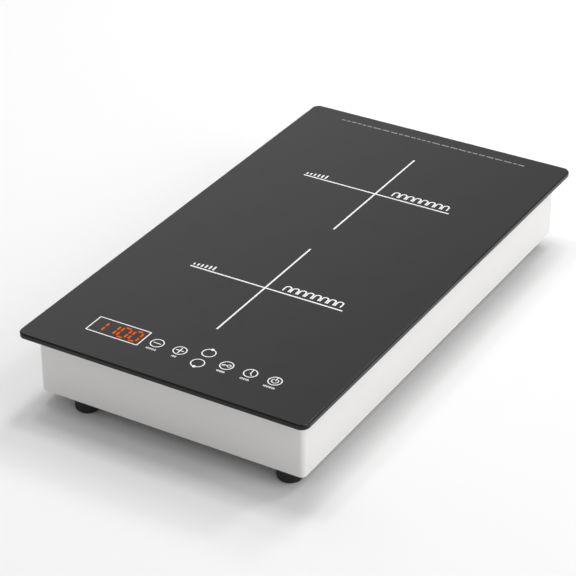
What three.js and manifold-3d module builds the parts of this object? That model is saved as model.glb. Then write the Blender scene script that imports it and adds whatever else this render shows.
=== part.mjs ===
// Two-zone electric induction cooktop, millimetres, +Z up.
// Origin: middle of the footprint on the plane the feet stand on. -Y is the control panel side, +Y the rear.
import * as THREE from "three";
import { mergeVertices } from "three/addons/utils/BufferGeometryUtils.js";
import Module from "manifold-3d";

// ---- driving dimensions ----

const TOTAL_HEIGHT = 78;
const FOOT_HEIGHT = 13;
const CONTACT_GAP = 0.15; // left between faces that touch on the real object
const SLACK = 1; // how far a cutter runs past the face that it opens
const HOLE_PLAY = 0.3; // added to a radius so that a shaft or neck goes through its hole

const GLASS = { x: 290, y: 520, thick: 5, corner: 8, arris: 1 };
const SHELL = { x: 268.4, y: 487.4, corner: 4.5, sheet: 1.2, flange: 12, ledge: 8, innerCorner: 2 };
const SEAL = { width: 8, inset: 2, thick: 1.3, innerCorner: 1 };
const BASE = { thick: 1.2, edgeGap: 0.4 };

const FOOT = { top: 12.4, bottom: 11.8, round: 3, bore: 2.5, headBore: 5.6, headDepth: 6 };
const FOOT_X = { left: -93.5, right: 113.5 };
const FOOT_Y = 230.5;
const FOOT_SCREW = { shaft: 2, head: 4.4, headHigh: 2.6, above: 4 };
const BASE_SCREW = { shaft: 1.6, head: 3.4, headHigh: 1.8, above: 3, x: 128.6, y: 205 };
// Screw head shape, as shares of the head's radius and height; tip is the chamfer at the point.
const PAN_HEAD = { crown: 0.72, side: 0.55, recessLong: 1.1, recessWide: 0.24, recessDeep: 0.6, tip: 0.6 };

const ZONES = {
  front: { x: 3, y: -87, radius: 78 },
  rear: { x: 3, y: 118, radius: 83 },
};
const MICA = { thick: 0.5, hole: 9 };
const WINDING = { thick: 3, inner: 22 };
const BOBBIN = { thick: 2, rim: 3, rimHigh: 3, hole: 9, hubGap: 1, hubWall: 2 };
const FERRITE = { long: 50, wide: 14, thick: 4.5, count: 4, start: 1 };
const BRACKET = { thick: 1.5, armWide: 34, tabHigh: 16, hole: 10, wallGap: 0.6 };
const SENSOR = { radius: 6.5, pin: 2.5, pinHigh: 5, bevel: 1 };

const FAN = { side: 92, thick: 20, bore: 86, corner: 5, hub: 34, hubThick: 3, strut: 5, struts: 4 };
const FAN_SCREW = { hole: 4.3, inset: 5.5 };
const ROTOR = { hub: 32, high: 13, blades: 9, bladeThick: 1.6, bladeHigh: 14, pitch: 38, tip: 41.5 };
const ROTOR_FIT = { over: 1, shaftLow: 0.6, edge: 1.5 }; // above the frame's hub, shaft end, hub edge
const BITE = 2; // how far a strut or blade runs into the piece that it is joined to
const FAN_SHAFT = { radius: 1.5, clearance: 0.3 };
const FAN_X = -78;
const FAN_Y = { front: -72, rear: 112 };

const SLOT = { wide: 3.4, pitch: 8.4, gap: 6 };
const INTAKE = { long: 38, rows: 9 };
const EXHAUST = { long: 26, columns: 10, x: [-86, 4], z: 42 };

const BOARD = { x: 118, y: 212, thick: 1.6, cx: 62, cy: 58, lift: 7.6, corner: 2 };
const STANDOFF = { radius: 3, inset: 6 };
const HEATSINK = { x: 62, y: 124, base: 4, fin: 1.6, finHigh: 17, fins: 12, leg: 5.4, legWide: 4 };
const HEATSINK_AT = { x: 42, y: 62 };
const DEVICE = { x: 20.5, y: 15.7, high: 4.8, apart: 36, corner: 1 };
const RECTIFIER = { x: 30, y: 20, corner: 2 };
const CHOKE = { inner: 8, outer: 18, high: 16, edge: 1, at: [97, 60] };
const SMOOTHING = { x: 26, y: 32, z: 28, at: [98, 12] };
const RESONANCE = { x: 42, y: 22, z: 26, front: [44, -28], rear: [44, 147] };
const CASE_CORNER = 1.5;

const GLAND = { bore: 4.3, neck: 7.6, flange: 12, flangeThick: 3, inside: 8, x: 86, z: 40 };
const GLAND_EDGE = { bevel: 0.8, lead: 1 };
const TERMINAL = { x: 44, y: 22, z: 20, corner: 2, at: [86, 206] };
const TERMINAL_WAY = { count: 3, wire: 3.2, wireZ: 9, screw: 2.88, screwZ: 15 };

const KEY_PITCH = 23.55;
const KEY_ROW_Y = -213.7;
const KEY_SPLIT = 9.1; // how far the two zone keys sit before and behind the row
const FIRST_KEY_X = -29;
const KEY_NAMES = ["minus", "plus", "zone_rear", "lock", "timer", "power"];
const KEY = { radius: 5, sides: 12 };
const DISPLAY = { x: 52, y: 22, cx: -69.1, cy: -213.3 };
const PANEL = { x: 214, y: 46, cx: -1, cy: -212, boardThick: 1.6, boardTop: 62, bracketThick: 2.4 };
const PANEL_EDGE = { board: 4, boardCorner: 2, bracketCorner: 3, postBite: 1, display: 1 };
const PANEL_POSTS = [[-104, -194], [102, -194], [4, -230]];
const POST_RADIUS = 4;

const GLASS_UNDER = TOTAL_HEIGHT - GLASS.thick;
const SHELL_TOP = GLASS_UNDER - SEAL.thick - 2 * CONTACT_GAP;
const BASE_TOP = FOOT_HEIGHT + BASE.thick;
const LEDGE_UNDER = BASE_TOP + CONTACT_GAP;
const LEDGE_TOP = LEDGE_UNDER + SHELL.sheet;

// ---- helpers ----

const wasm = await Module();
wasm.setup();

const toSolid = (geometry) => {
  const bare = geometry.clone();
  bare.deleteAttribute("normal");
  bare.deleteAttribute("uv");
  const merged = mergeVertices(bare, 1e-4);
  return new wasm.Manifold(
    new wasm.Mesh({
      numProp: 3,
      vertProperties: new Float32Array(merged.attributes.position.array),
      triVerts: new Uint32Array(merged.index.array),
    }),
  );
};

const toGeometry = (solid) => {
  const mesh = solid.getMesh();
  return new THREE.BufferGeometry()
    .setAttribute("position", new THREE.BufferAttribute(new Float32Array(mesh.vertProperties), 3))
    .setIndex(new THREE.BufferAttribute(new Uint32Array(mesh.triVerts), 1));
};

const join = (first, ...others) =>
  toGeometry(others.reduce((sum, piece) => sum.add(toSolid(piece)), toSolid(first)));

const cut = (first, ...cutters) =>
  toGeometry(cutters.reduce((left, tool) => left.subtract(toSolid(tool)), toSolid(first)));

const arcPoints = (cx, cy, radius, from, to, segments) =>
  Array.from({ length: segments + 1 }, (_, i) => {
    const angle = from + ((to - from) * i) / segments;
    return new THREE.Vector2(cx + radius * Math.cos(angle), cy + radius * Math.sin(angle));
  });

// segments counts the straight steps of each rounded corner.
const roundedRect = (x, y, radius, cx = 0, cy = 0, segments = 2) => {
  const reachX = x / 2 - radius;
  const reachY = y / 2 - radius;
  const corners = [[1, -1], [1, 1], [-1, 1], [-1, -1]];
  return new THREE.Shape(corners.flatMap(([sx, sy], i) => {
    const start = ((i - 1) * Math.PI) / 2;
    return arcPoints(cx + sx * reachX, cy + sy * reachY, radius, start, start + Math.PI / 2, segments);
  }));
};

const circle = (radius, cx = 0, cy = 0, sides = 12) =>
  new THREE.Shape(arcPoints(cx, cy, radius, 0, 2 * Math.PI, sides).slice(0, sides));

const prism = (outline, z0, z1, holes = []) => {
  outline.holes.push(...holes);
  const made = new THREE.ExtrudeGeometry(outline, { depth: z1 - z0, bevelEnabled: false });
  return made.translate(0, 0, z0);
};

const block = (x, y, z0, z1, cx = 0, cy = 0) =>
  new THREE.BoxGeometry(x, y, z1 - z0).translate(cx, cy, (z0 + z1) / 2);

const rod = (radius, z0, z1, cx = 0, cy = 0, sides = 16) =>
  new THREE.CylinderGeometry(radius, radius, z1 - z0, sides)
    .rotateX(Math.PI / 2)
    .translate(cx, cy, (z0 + z1) / 2);

// Turned piece about +Z from a list of [radius, z] pairs.
const turned = (profile, sides = 24) =>
  new THREE.LatheGeometry(profile.map(([r, z]) => new THREE.Vector2(r, z)), sides).rotateX(Math.PI / 2);

// Positions of a row of equal steps about zero.
const centred = (count, pitch) => Array.from({ length: count }, (_, i) => (i - (count - 1) / 2) * pitch);

const closed = (profile) => [...profile, profile[0]];

// ---- materials ----

const surface = (color, roughness, metalness = 0) =>
  new THREE.MeshStandardMaterial({ color, roughness, metalness });

const MATERIALS = {
  glass: surface(0x08090a, 0.06),
  paint: surface(0xc9c8c6, 0.45),
  rubber: surface(0x141414, 0.8),
  seal: surface(0x1b1b1c, 0.7),
  steel: surface(0x9a9c9e, 0.35, 1),
  aluminium: surface(0xb9bbbe, 0.4, 1),
  copper: surface(0xa4552c, 0.4, 1),
  ferrite: surface(0x3a3b3e, 0.7),
  mica: surface(0xc9b68f, 0.6),
  blackPlastic: surface(0x17181a, 0.5),
  whitePlastic: surface(0xd9d8d2, 0.5),
  board: surface(0x2d5b33, 0.5),
  capacitor: surface(0x9b2b20, 0.35),
  display: surface(0x1c0806, 0.3),
  silicone: surface(0xbfc0c2, 0.6),
};

const cooktop = new THREE.Group();

const add = (name, geometry, material, at = [0, 0, 0]) => {
  const mesh = new THREE.Mesh(geometry, material);
  mesh.name = name;
  mesh.position.set(...at);
  cooktop.add(mesh);
  return mesh;
};

// ---- glass and its seal ----

function glassTop() {
  const b = GLASS.arris;
  const plate = new THREE.ExtrudeGeometry(roundedRect(GLASS.x, GLASS.y, GLASS.corner, 0, 0, 8), {
    depth: GLASS.thick - 2 * b,
    bevelThickness: b,
    bevelSize: b,
    bevelOffset: -b,
    bevelSegments: 2,
  });
  return plate.translate(0, 0, GLASS_UNDER + b);
}

function glassSeal() {
  const { width, inset, thick } = SEAL;
  const top = GLASS_UNDER - CONTACT_GAP;
  const [x, y] = [SHELL.x - 2 * inset, SHELL.y - 2 * inset];
  const outer = roundedRect(x, y, SHELL.corner - inset);
  const inner = roundedRect(x - 2 * width, y - 2 * width, SEAL.innerCorner);
  return prism(outer, top - thick, top, [inner]);
}

// ---- sheet metal housing ----

// A slot with half-round ends that are drawn as half octagons.
const slotOutline = (x, y, cx, cy) => roundedRect(x, y, Math.min(x, y) * 0.49, cx, cy, 1);

// A cutter whose outline is drawn in X and Z, and which goes through the rear wall along Y.
function rearCutter(outline) {
  return prism(outline, -SLACK, SHELL.sheet + SLACK)
    .rotateX(Math.PI / 2)
    .translate(0, SHELL.y / 2, 0);
}

function exhaustCutters() {
  return EXHAUST.x.flatMap((middle) =>
    centred(EXHAUST.columns, SLOT.pitch).map((shift) =>
      rearCutter(slotOutline(SLOT.wide, EXHAUST.long, middle + shift, EXHAUST.z))),
  );
}

function housingShell() {
  const { x, y, corner, sheet, flange, ledge } = SHELL;
  const inX = x - 2 * sheet;
  const inY = y - 2 * sheet;
  const inside = () => roundedRect(inX, inY, corner - sheet, 0, 0, 4);
  const opening = (rim) => roundedRect(inX - 2 * rim, inY - 2 * rim, SHELL.innerCorner, 0, 0, 1);
  const screwHoles = screwPlaces().map(([sx, sy]) =>
    rod(BASE_SCREW.shaft + HOLE_PLAY, LEDGE_UNDER - SLACK, LEDGE_TOP + SLACK, sx, sy, 8));
  return cut(
    prism(roundedRect(x, y, corner, 0, 0, 4), FOOT_HEIGHT, SHELL_TOP),
    prism(inside(), LEDGE_TOP, SHELL_TOP - sheet),
    prism(opening(flange), SHELL_TOP - sheet - SLACK, SHELL_TOP + SLACK),
    prism(inside(), FOOT_HEIGHT - SLACK, LEDGE_UNDER),
    prism(opening(ledge), LEDGE_UNDER - SLACK, LEDGE_TOP + SLACK),
    ...exhaustCutters(),
    ...screwHoles,
    rod(GLAND.neck + HOLE_PLAY, -SLACK, sheet + SLACK, 0, 0, 24)
      .rotateX(Math.PI / 2)
      .translate(GLAND.x, y / 2, GLAND.z),
  );
}

const screwPlaces = () =>
  [-1, 1].flatMap((sy) => [-1, 1].map((sx) => [sx * BASE_SCREW.x, sy * BASE_SCREW.y]));

const footPlaces = () =>
  Object.entries({ front: -FOOT_Y, rear: FOOT_Y }).flatMap(([end, y]) =>
    Object.entries(FOOT_X).map(([side, x]) => ({ name: `${end}_${side}`, x, y })),
  );

const standoffPlaces = () => {
  const reachX = BOARD.x / 2 - STANDOFF.inset;
  const reachY = BOARD.y / 2 - STANDOFF.inset;
  return [-1, 1].flatMap((sx) => [-1, 1].map((sy) => [BOARD.cx + sx * reachX, BOARD.cy + sy * reachY]));
};

function intakeHoles(middleY) {
  const columns = [-1, 1].map((side) => FAN_X + (side * (INTAKE.long + SLOT.gap)) / 2);
  return columns.flatMap((cx) =>
    centred(INTAKE.rows, SLOT.pitch).map((shift) =>
      slotOutline(INTAKE.long, SLOT.wide, cx, middleY + shift)));
}

function basePlate() {
  const corner = SHELL.corner - SHELL.sheet;
  const outline = roundedRect(
    SHELL.x - 2 * SHELL.sheet - 2 * BASE.edgeGap,
    SHELL.y - 2 * SHELL.sheet - 2 * BASE.edgeGap,
    corner - BASE.edgeGap,
  );
  const holes = [
    ...Object.values(FAN_Y).flatMap(intakeHoles),
    ...screwPlaces().map(([x, y]) => circle(BASE_SCREW.shaft + HOLE_PLAY, x, y, 8)),
    ...footPlaces().map(({ x, y }) => circle(FOOT_SCREW.shaft + HOLE_PLAY, x, y, 8)),
  ];
  const standoffs = standoffPlaces().map(([x, y]) =>
    rod(STANDOFF.radius, BASE_TOP - BASE.thick / 2, BASE_TOP + BOARD.lift, x, y, 8));
  return join(prism(outline, FOOT_HEIGHT, BASE_TOP, holes), ...standoffs);
}

// ---- feet and screws ----

function foot() {
  const top = FOOT_HEIGHT - CONTACT_GAP;
  const { round, bore, headBore, headDepth } = FOOT;
  const arc = [0, 1 / 3, 2 / 3, 1].map((step) => {
    const angle = (step * Math.PI) / 2;
    return [FOOT.bottom - round + round * Math.sin(angle), round - round * Math.cos(angle)];
  });
  return turned(closed([
    [headBore, 0],
    ...arc,
    [FOOT.top, top],
    [bore, top],
    [bore, headDepth],
    [headBore, headDepth],
  ]), 20);
}

// Pan-head screw, standing on its head at z = 0 with the shaft up.
function screw({ shaft, head, headHigh }, length) {
  const { crown, side, recessLong, recessWide, recessDeep, tip } = PAN_HEAD;
  const body = turned([
    [0, 0],
    [head * crown, 0],
    [head, headHigh * side],
    [head, headHigh],
    [shaft, headHigh],
    [shaft, headHigh + length - tip],
    [shaft - tip, headHigh + length],
    [0, headHigh + length],
  ], 10);
  const armLong = head * recessLong;
  const armWide = head * recessWide;
  const depth = headHigh * recessDeep;
  return cut(body, block(armLong, armWide, -SLACK, depth), block(armWide, armLong, -SLACK, depth));
}

// ---- induction coils ----

const MICA_TOP = GLASS_UNDER - CONTACT_GAP;
const WINDING_TOP = MICA_TOP - MICA.thick - CONTACT_GAP;
const BOBBIN_TOP = WINDING_TOP - WINDING.thick - CONTACT_GAP;
const FERRITE_TOP = BOBBIN_TOP - BOBBIN.thick - CONTACT_GAP;
const BRACKET_TOP = FERRITE_TOP - FERRITE.thick - CONTACT_GAP;

const COIL_SIDES = 36;

const disc = (outer, inner, z0, z1) => prism(circle(outer, 0, 0, COIL_SIDES), z0, z1, [circle(inner)]);

function winding(radius) {
  const { thick, inner } = WINDING;
  const low = WINDING_TOP - thick;
  const soft = thick / 3;
  return turned(closed([
    [inner, low],
    [radius, low],
    [radius, WINDING_TOP - soft],
    [radius - soft, WINDING_TOP],
    [inner + soft, WINDING_TOP],
    [inner, WINDING_TOP - soft],
  ]), COIL_SIDES);
}

function bobbin(radius) {
  const { thick, rim, rimHigh, hole, hubGap, hubWall } = BOBBIN;
  const low = BOBBIN_TOP - thick;
  const hub = WINDING.inner - hubGap;
  const wall = radius + CONTACT_GAP * 2;
  return turned(closed([
    [hole, low],
    [wall + rim, low],
    [wall + rim, BOBBIN_TOP + rimHigh],
    [wall, BOBBIN_TOP + rimHigh],
    [wall, BOBBIN_TOP],
    [hub, BOBBIN_TOP],
    [hub, BOBBIN_TOP + rimHigh],
    [hub - hubWall, BOBBIN_TOP + rimHigh],
    [hub - hubWall, BOBBIN_TOP],
    [hole, BOBBIN_TOP],
  ]), COIL_SIDES);
}

function coilBracket(zone) {
  const reach = SHELL.x / 2 - SHELL.sheet - BRACKET.wallGap;
  const low = BRACKET_TOP - BRACKET.thick;
  const plate = disc(zone.radius, BRACKET.hole, low, BRACKET_TOP);
  const arms = [-1, 1].flatMap((side) => {
    const end = side * reach - zone.x;
    const start = side * (zone.radius - BRACKET.armWide / 2);
    const tabX = end - (side * BRACKET.thick) / 2;
    return [
      block(Math.abs(end - start), BRACKET.armWide, low, BRACKET_TOP, (start + end) / 2, 0),
      block(BRACKET.thick, BRACKET.armWide, low - BRACKET.tabHigh, BRACKET_TOP, tabX, 0),
    ];
  });
  return join(plate, ...arms);
}

function coilSensor() {
  const low = BRACKET_TOP + CONTACT_GAP;
  const { radius, pin, pinHigh, bevel } = SENSOR;
  return turned([
    [0, low - pinHigh],
    [pin, low - pinHigh],
    [pin, low],
    [radius, low],
    [radius, MICA_TOP - bevel],
    [radius - bevel, MICA_TOP],
    [0, MICA_TOP],
  ], 16);
}

function ferriteBar(angle) {
  const { long, wide, thick, start } = FERRITE;
  const middle = WINDING.inner + start + long / 2;
  return block(long, wide, FERRITE_TOP - thick, FERRITE_TOP, middle, 0).rotateZ(angle);
}

function addCoil(end) {
  const zone = ZONES[end];
  const at = [zone.x, zone.y, 0];
  const mica = disc(zone.radius + 2, MICA.hole, MICA_TOP - MICA.thick, MICA_TOP);
  add(`coil_bracket_${end}`, coilBracket(zone), MATERIALS.aluminium, at);
  add(`coil_bobbin_${end}`, bobbin(zone.radius), MATERIALS.whitePlastic, at);
  add(`coil_winding_${end}`, winding(zone.radius), MATERIALS.copper, at);
  add(`mica_sheet_${end}`, mica, MATERIALS.mica, at);
  add(`coil_sensor_${end}`, coilSensor(), MATERIALS.silicone, at);
  for (let i = 0; i < FERRITE.count; i++) {
    const angle = ((i + 0.5) / FERRITE.count) * Math.PI * 2;
    add(`ferrite_bar_${end}_${i + 1}`, ferriteBar(angle), MATERIALS.ferrite, at);
  }
}

// ---- cooling fans ----

const FAN_LOW = BASE_TOP + CONTACT_GAP;

function fanFrame() {
  const screwReach = FAN.side / 2 - FAN_SCREW.inset;
  const screwHoles = [-1, 1].flatMap((sx) =>
    [-1, 1].map((sy) => circle(FAN_SCREW.hole / 2, sx * screwReach, sy * screwReach, 8)));
  const bore = circle(FAN.bore / 2, 0, 0, COIL_SIDES);
  const outline = roundedRect(FAN.side, FAN.side, FAN.corner, 0, 0, 3);
  const ring = prism(outline, 0, FAN.thick, [bore, ...screwHoles]);
  const strutEnd = FAN.bore / 2 + BITE;
  const struts = Array.from({ length: FAN.struts }, (_, i) =>
    block(strutEnd, FAN.strut, 0, FAN.hubThick, strutEnd / 2, 0)
      .rotateZ(((i + 0.5) / FAN.struts) * Math.PI * 2));
  const seat = rod(FAN.hub / 2, 0, FAN.hubThick, 0, 0, 20);
  const bearing = rod(FAN_SHAFT.radius + FAN_SHAFT.clearance, -SLACK, FAN.hubThick + SLACK, 0, 0, 12);
  return cut(join(ring, seat, ...struts), bearing);
}

function fanRotor() {
  const { over, shaftLow, edge } = ROTOR_FIT;
  const low = FAN.hubThick + over;
  const high = low + ROTOR.high;
  const hub = turned([
    [0, shaftLow],
    [FAN_SHAFT.radius, shaftLow],
    [FAN_SHAFT.radius, low],
    [ROTOR.hub / 2, low],
    [ROTOR.hub / 2, high - edge],
    [ROTOR.hub / 2 - edge, high],
    [0, high],
  ], 20);
  const inner = ROTOR.hub / 2 - BITE;
  const blades = Array.from({ length: ROTOR.blades }, (_, i) =>
    new THREE.BoxGeometry(ROTOR.tip - inner, ROTOR.bladeThick, ROTOR.bladeHigh)
      .rotateX(THREE.MathUtils.degToRad(ROTOR.pitch))
      .translate((ROTOR.tip + inner) / 2, 0, (low + high) / 2)
      .rotateZ((i / ROTOR.blades) * Math.PI * 2));
  return join(hub, ...blades);
}

function addFan(end) {
  const at = [FAN_X, FAN_Y[end], FAN_LOW];
  add(`fan_frame_${end}`, fanFrame(), MATERIALS.blackPlastic, at);
  add(`fan_rotor_${end}`, fanRotor(), MATERIALS.blackPlastic, at);
}

// ---- power electronics ----

const BOARD_LOW = BASE_TOP + BOARD.lift + CONTACT_GAP;
const BOARD_TOP = BOARD_LOW + BOARD.thick;
const PARTS_LOW = BOARD_TOP + CONTACT_GAP;

// Extruded heatsink: a comb outline in Y and Z that stands on two legs, run along X.
function heatsink() {
  const { x, y, base, fin, finHigh, fins, leg, legWide } = HEATSINK;
  const outline = new THREE.Shape();
  const half = y / 2;
  const pitch = (y - fin) / (fins - 1);
  outline.moveTo(-half, 0);
  outline.lineTo(-half + legWide, 0);
  outline.lineTo(-half + legWide, leg);
  outline.lineTo(half - legWide, leg);
  outline.lineTo(half - legWide, 0);
  outline.lineTo(half, 0);
  for (let i = fins - 1; i >= 0; i--) {
    const left = -half + i * pitch;
    if (i < fins - 1) outline.lineTo(left + fin, leg + base);
    outline.lineTo(left + fin, leg + base + finHigh);
    outline.lineTo(left, leg + base + finHigh);
    if (i > 0) outline.lineTo(left, leg + base);
  }
  return prism(outline, -x / 2, x / 2)
    .rotateX(Math.PI / 2)
    .rotateZ(Math.PI / 2);
}

const boxPart = (x, y, z, round = CASE_CORNER) => prism(roundedRect(x, y, round), 0, z);

const filterChoke = () => {
  const { inner, outer, high, edge } = CHOKE;
  return turned(closed([
    [inner, edge],
    [inner + edge, 0],
    [outer - edge, 0],
    [outer, edge],
    [outer, high - edge],
    [outer - edge, high],
    [inner + edge, high],
    [inner, high - edge],
  ]));
};

function addPowerElectronics() {
  const { x: boardX, y: boardY, cx, cy } = BOARD;
  const { x: sinkX, y: sinkY } = HEATSINK_AT;
  const { blackPlastic, capacitor } = MATERIALS;
  const transistor = () => boxPart(DEVICE.x, DEVICE.y, DEVICE.high, DEVICE.corner);
  const resonance = () => boxPart(RESONANCE.x, RESONANCE.y, RESONANCE.z);
  const smoothing = boxPart(SMOOTHING.x, SMOOTHING.y, SMOOTHING.z);
  const rectifier = boxPart(RECTIFIER.x, RECTIFIER.y, DEVICE.high, RECTIFIER.corner);
  const place = (name, geometry, material, [x, y]) => add(name, geometry, material, [x, y, PARTS_LOW]);
  const boardOutline = roundedRect(boardX, boardY, BOARD.corner, cx, cy);
  add("power_board", prism(boardOutline, BOARD_LOW, BOARD_TOP), MATERIALS.board);
  place("heatsink", heatsink(), MATERIALS.aluminium, [sinkX, sinkY]);
  place("power_transistor_front", transistor(), blackPlastic, [sinkX, sinkY - DEVICE.apart]);
  place("power_transistor_rear", transistor(), blackPlastic, [sinkX, sinkY + DEVICE.apart]);
  place("bridge_rectifier", rectifier, blackPlastic, [sinkX, sinkY]);
  place("filter_choke", filterChoke(), MATERIALS.copper, CHOKE.at);
  place("smoothing_capacitor", smoothing, capacitor, SMOOTHING.at);
  place("resonance_capacitor_front", resonance(), capacitor, RESONANCE.front);
  place("resonance_capacitor_rear", resonance(), capacitor, RESONANCE.rear);
}

// ---- control panel under the glass ----

function keyPlaces() {
  const row = KEY_NAMES.map((name, i) => {
    const shift = name === "zone_rear" ? KEY_SPLIT : 0;
    return { name, x: FIRST_KEY_X + i * KEY_PITCH, y: KEY_ROW_Y + shift };
  });
  const split = row.find(({ name }) => name === "zone_rear");
  return [...row, { name: "zone_front", x: split.x, y: KEY_ROW_Y - KEY_SPLIT }];
}

function controlBracket() {
  const top = PANEL.boardTop - PANEL.boardThick - CONTACT_GAP;
  const low = top - PANEL.bracketThick;
  const { bracketCorner, postBite } = PANEL_EDGE;
  const plate = prism(roundedRect(PANEL.x, PANEL.y, bracketCorner, PANEL.cx, PANEL.cy), low, top);
  const posts = PANEL_POSTS.map(([x, y]) =>
    rod(POST_RADIUS, BASE_TOP + CONTACT_GAP, low + postBite, x, y, 8));
  return join(plate, ...posts);
}

function addControlPanel() {
  const low = PANEL.boardTop + CONTACT_GAP;
  const top = GLASS_UNDER - CONTACT_GAP;
  const { board, boardCorner, display } = PANEL_EDGE;
  const boardOutline = roundedRect(PANEL.x - 2 * board, PANEL.y - 2 * board, boardCorner, PANEL.cx, PANEL.cy);
  const displayOutline = roundedRect(DISPLAY.x, DISPLAY.y, display, DISPLAY.cx, DISPLAY.cy);
  add("control_bracket", controlBracket(), MATERIALS.blackPlastic);
  add("control_board", prism(boardOutline, PANEL.boardTop - PANEL.boardThick, PANEL.boardTop), MATERIALS.board);
  add("display_module", prism(displayOutline, low, top), MATERIALS.display);
  for (const { name, x, y } of keyPlaces()) {
    add(`touch_pad_${name}`, rod(KEY.radius, low, top, x, y, KEY.sides), MATERIALS.silicone);
  }
}

// ---- mains side ----

// Bushing in the rear wall: flange outside, neck through the sheet, retaining collar inside.
function cordGland() {
  const { bore, neck, flange, flangeThick, inside } = GLAND;
  const { bevel, lead } = GLAND_EDGE;
  const back = SHELL.sheet + CONTACT_GAP;
  const profile = closed([
    [bore, -back - inside],
    [neck - lead, -back - inside],
    [neck, -back - inside + lead],
    [neck, CONTACT_GAP],
    [flange, CONTACT_GAP],
    [flange, flangeThick - bevel],
    [flange - bevel, flangeThick],
    [bore, flangeThick],
  ]);
  return turned(profile, 24).rotateX(-Math.PI / 2);
}

function terminalBlock() {
  const { x, y, z, corner } = TERMINAL;
  const { count, wire, wireZ, screw: screwRadius, screwZ } = TERMINAL_WAY;
  const places = centred(count, x / count);
  const wires = places.map((shift) =>
    rod(wire, -y, y, 0, 0, 8)
      .rotateX(Math.PI / 2)
      .translate(shift, 0, wireZ));
  const screws = places.map((shift) => rod(screwRadius, screwZ, z + SLACK, shift, 0, 8));
  return cut(boxPart(x, y, z, corner), ...wires, ...screws);
}

// ---- assembly ----

add("glass_top", glassTop(), MATERIALS.glass);
add("glass_seal", glassSeal(), MATERIALS.seal);
add("housing_shell", housingShell(), MATERIALS.paint);
add("base_plate", basePlate(), MATERIALS.paint);

for (const { name, x, y } of footPlaces()) {
  add(`foot_${name}`, foot(), MATERIALS.rubber, [x, y, 0]);
  const headLow = FOOT.headDepth - FOOT_SCREW.headHigh - CONTACT_GAP;
  const length = BASE_TOP + FOOT_SCREW.above - headLow - FOOT_SCREW.headHigh;
  add(`foot_screw_${name}`, screw(FOOT_SCREW, length), MATERIALS.steel, [x, y, headLow]);
}

screwPlaces().forEach(([x, y], i) => {
  const headLow = FOOT_HEIGHT - CONTACT_GAP - BASE_SCREW.headHigh;
  const length = LEDGE_TOP + BASE_SCREW.above - FOOT_HEIGHT;
  add(`base_screw_${i + 1}`, screw(BASE_SCREW, length), MATERIALS.steel, [x, y, headLow]);
});

Object.keys(ZONES).forEach(addCoil);
Object.keys(FAN_Y).forEach(addFan);
addPowerElectronics();
addControlPanel();
add("cord_gland", cordGland(), MATERIALS.blackPlastic, [GLAND.x, SHELL.y / 2, GLAND.z]);
add("terminal_block", terminalBlock(), MATERIALS.whitePlastic, [...TERMINAL.at, BASE_TOP + CONTACT_GAP]);

export default cooktop;
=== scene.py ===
"""Two-zone electric induction cooktop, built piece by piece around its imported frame.

Shapes are drawn in millimetres and turned into metres when a piece is made.
-Y is the control side and +Z is up.
"""

import math
import random

import bmesh
import bpy
from mathutils import Matrix, Vector


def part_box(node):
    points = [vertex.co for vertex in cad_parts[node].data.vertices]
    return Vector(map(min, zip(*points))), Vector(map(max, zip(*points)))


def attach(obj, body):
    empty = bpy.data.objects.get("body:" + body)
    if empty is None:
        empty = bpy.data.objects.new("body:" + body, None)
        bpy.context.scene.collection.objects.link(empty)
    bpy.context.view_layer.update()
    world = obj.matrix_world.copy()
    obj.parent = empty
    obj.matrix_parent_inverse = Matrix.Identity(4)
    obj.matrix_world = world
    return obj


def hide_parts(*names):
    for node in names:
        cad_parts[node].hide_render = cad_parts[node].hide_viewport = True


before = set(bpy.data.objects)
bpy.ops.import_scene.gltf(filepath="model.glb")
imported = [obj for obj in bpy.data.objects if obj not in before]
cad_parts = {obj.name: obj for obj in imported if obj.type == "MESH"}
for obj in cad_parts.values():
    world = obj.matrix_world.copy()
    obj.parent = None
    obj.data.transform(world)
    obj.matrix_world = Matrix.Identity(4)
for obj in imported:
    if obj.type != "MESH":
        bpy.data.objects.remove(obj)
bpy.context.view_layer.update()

MM = 0.001

# ---- outlines ----


def arc(centre, radius, start, sweep, steps):
    """Points along an arc, both ends included. Angles are in degrees."""
    turns = [math.radians(start + sweep * i / steps) for i in range(steps + 1)]
    return [(centre[0] + radius * math.cos(a), centre[1] + radius * math.sin(a)) for a in turns]


def circle(radius, centre=(0, 0), steps=40):
    return arc(centre, radius, 0, 360 * (steps - 1) / steps, steps - 1)


def round_rectangle(wide, deep, corner, centre=(0, 0), steps=6):
    points = []
    for side, end, start in ((1, -1, -90), (1, 1, 0), (-1, 1, 90), (-1, -1, 180)):
        middle = (centre[0] + side * (wide / 2 - corner), centre[1] + end * (deep / 2 - corner))
        points += arc(middle, corner, start, 90, steps)
    return points


def row(count, pitch):
    """Places of a row of equal steps about zero."""
    return [(i - (count - 1) / 2) * pitch for i in range(count)]


def stroke_sides(path, width, looped):
    """The two edges of a line of that width drawn along a path, mitred at its corners."""
    spots = [Vector(point).to_2d() for point in path]
    last = len(spots) - 1
    left, right = [], []
    for i, spot in enumerate(spots):
        before = spots[i - 1] if i or looped else None
        after = spots[(i + 1) % len(spots)] if i < last or looped else None
        heading_in = (spot - before).normalized() if before is not None else None
        heading_out = (after - spot).normalized() if after is not None else heading_in
        heading_in = heading_out if heading_in is None else heading_in
        along = (heading_in + heading_out).normalized()
        reach = width / 2 / max(along.dot(heading_out), 0.3)
        side = Vector((-along.y, along.x)) * reach
        left.append(spot + side)
        right.append(spot - side)
    return left, right


# ---- blanks: meshes in the making ----


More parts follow.
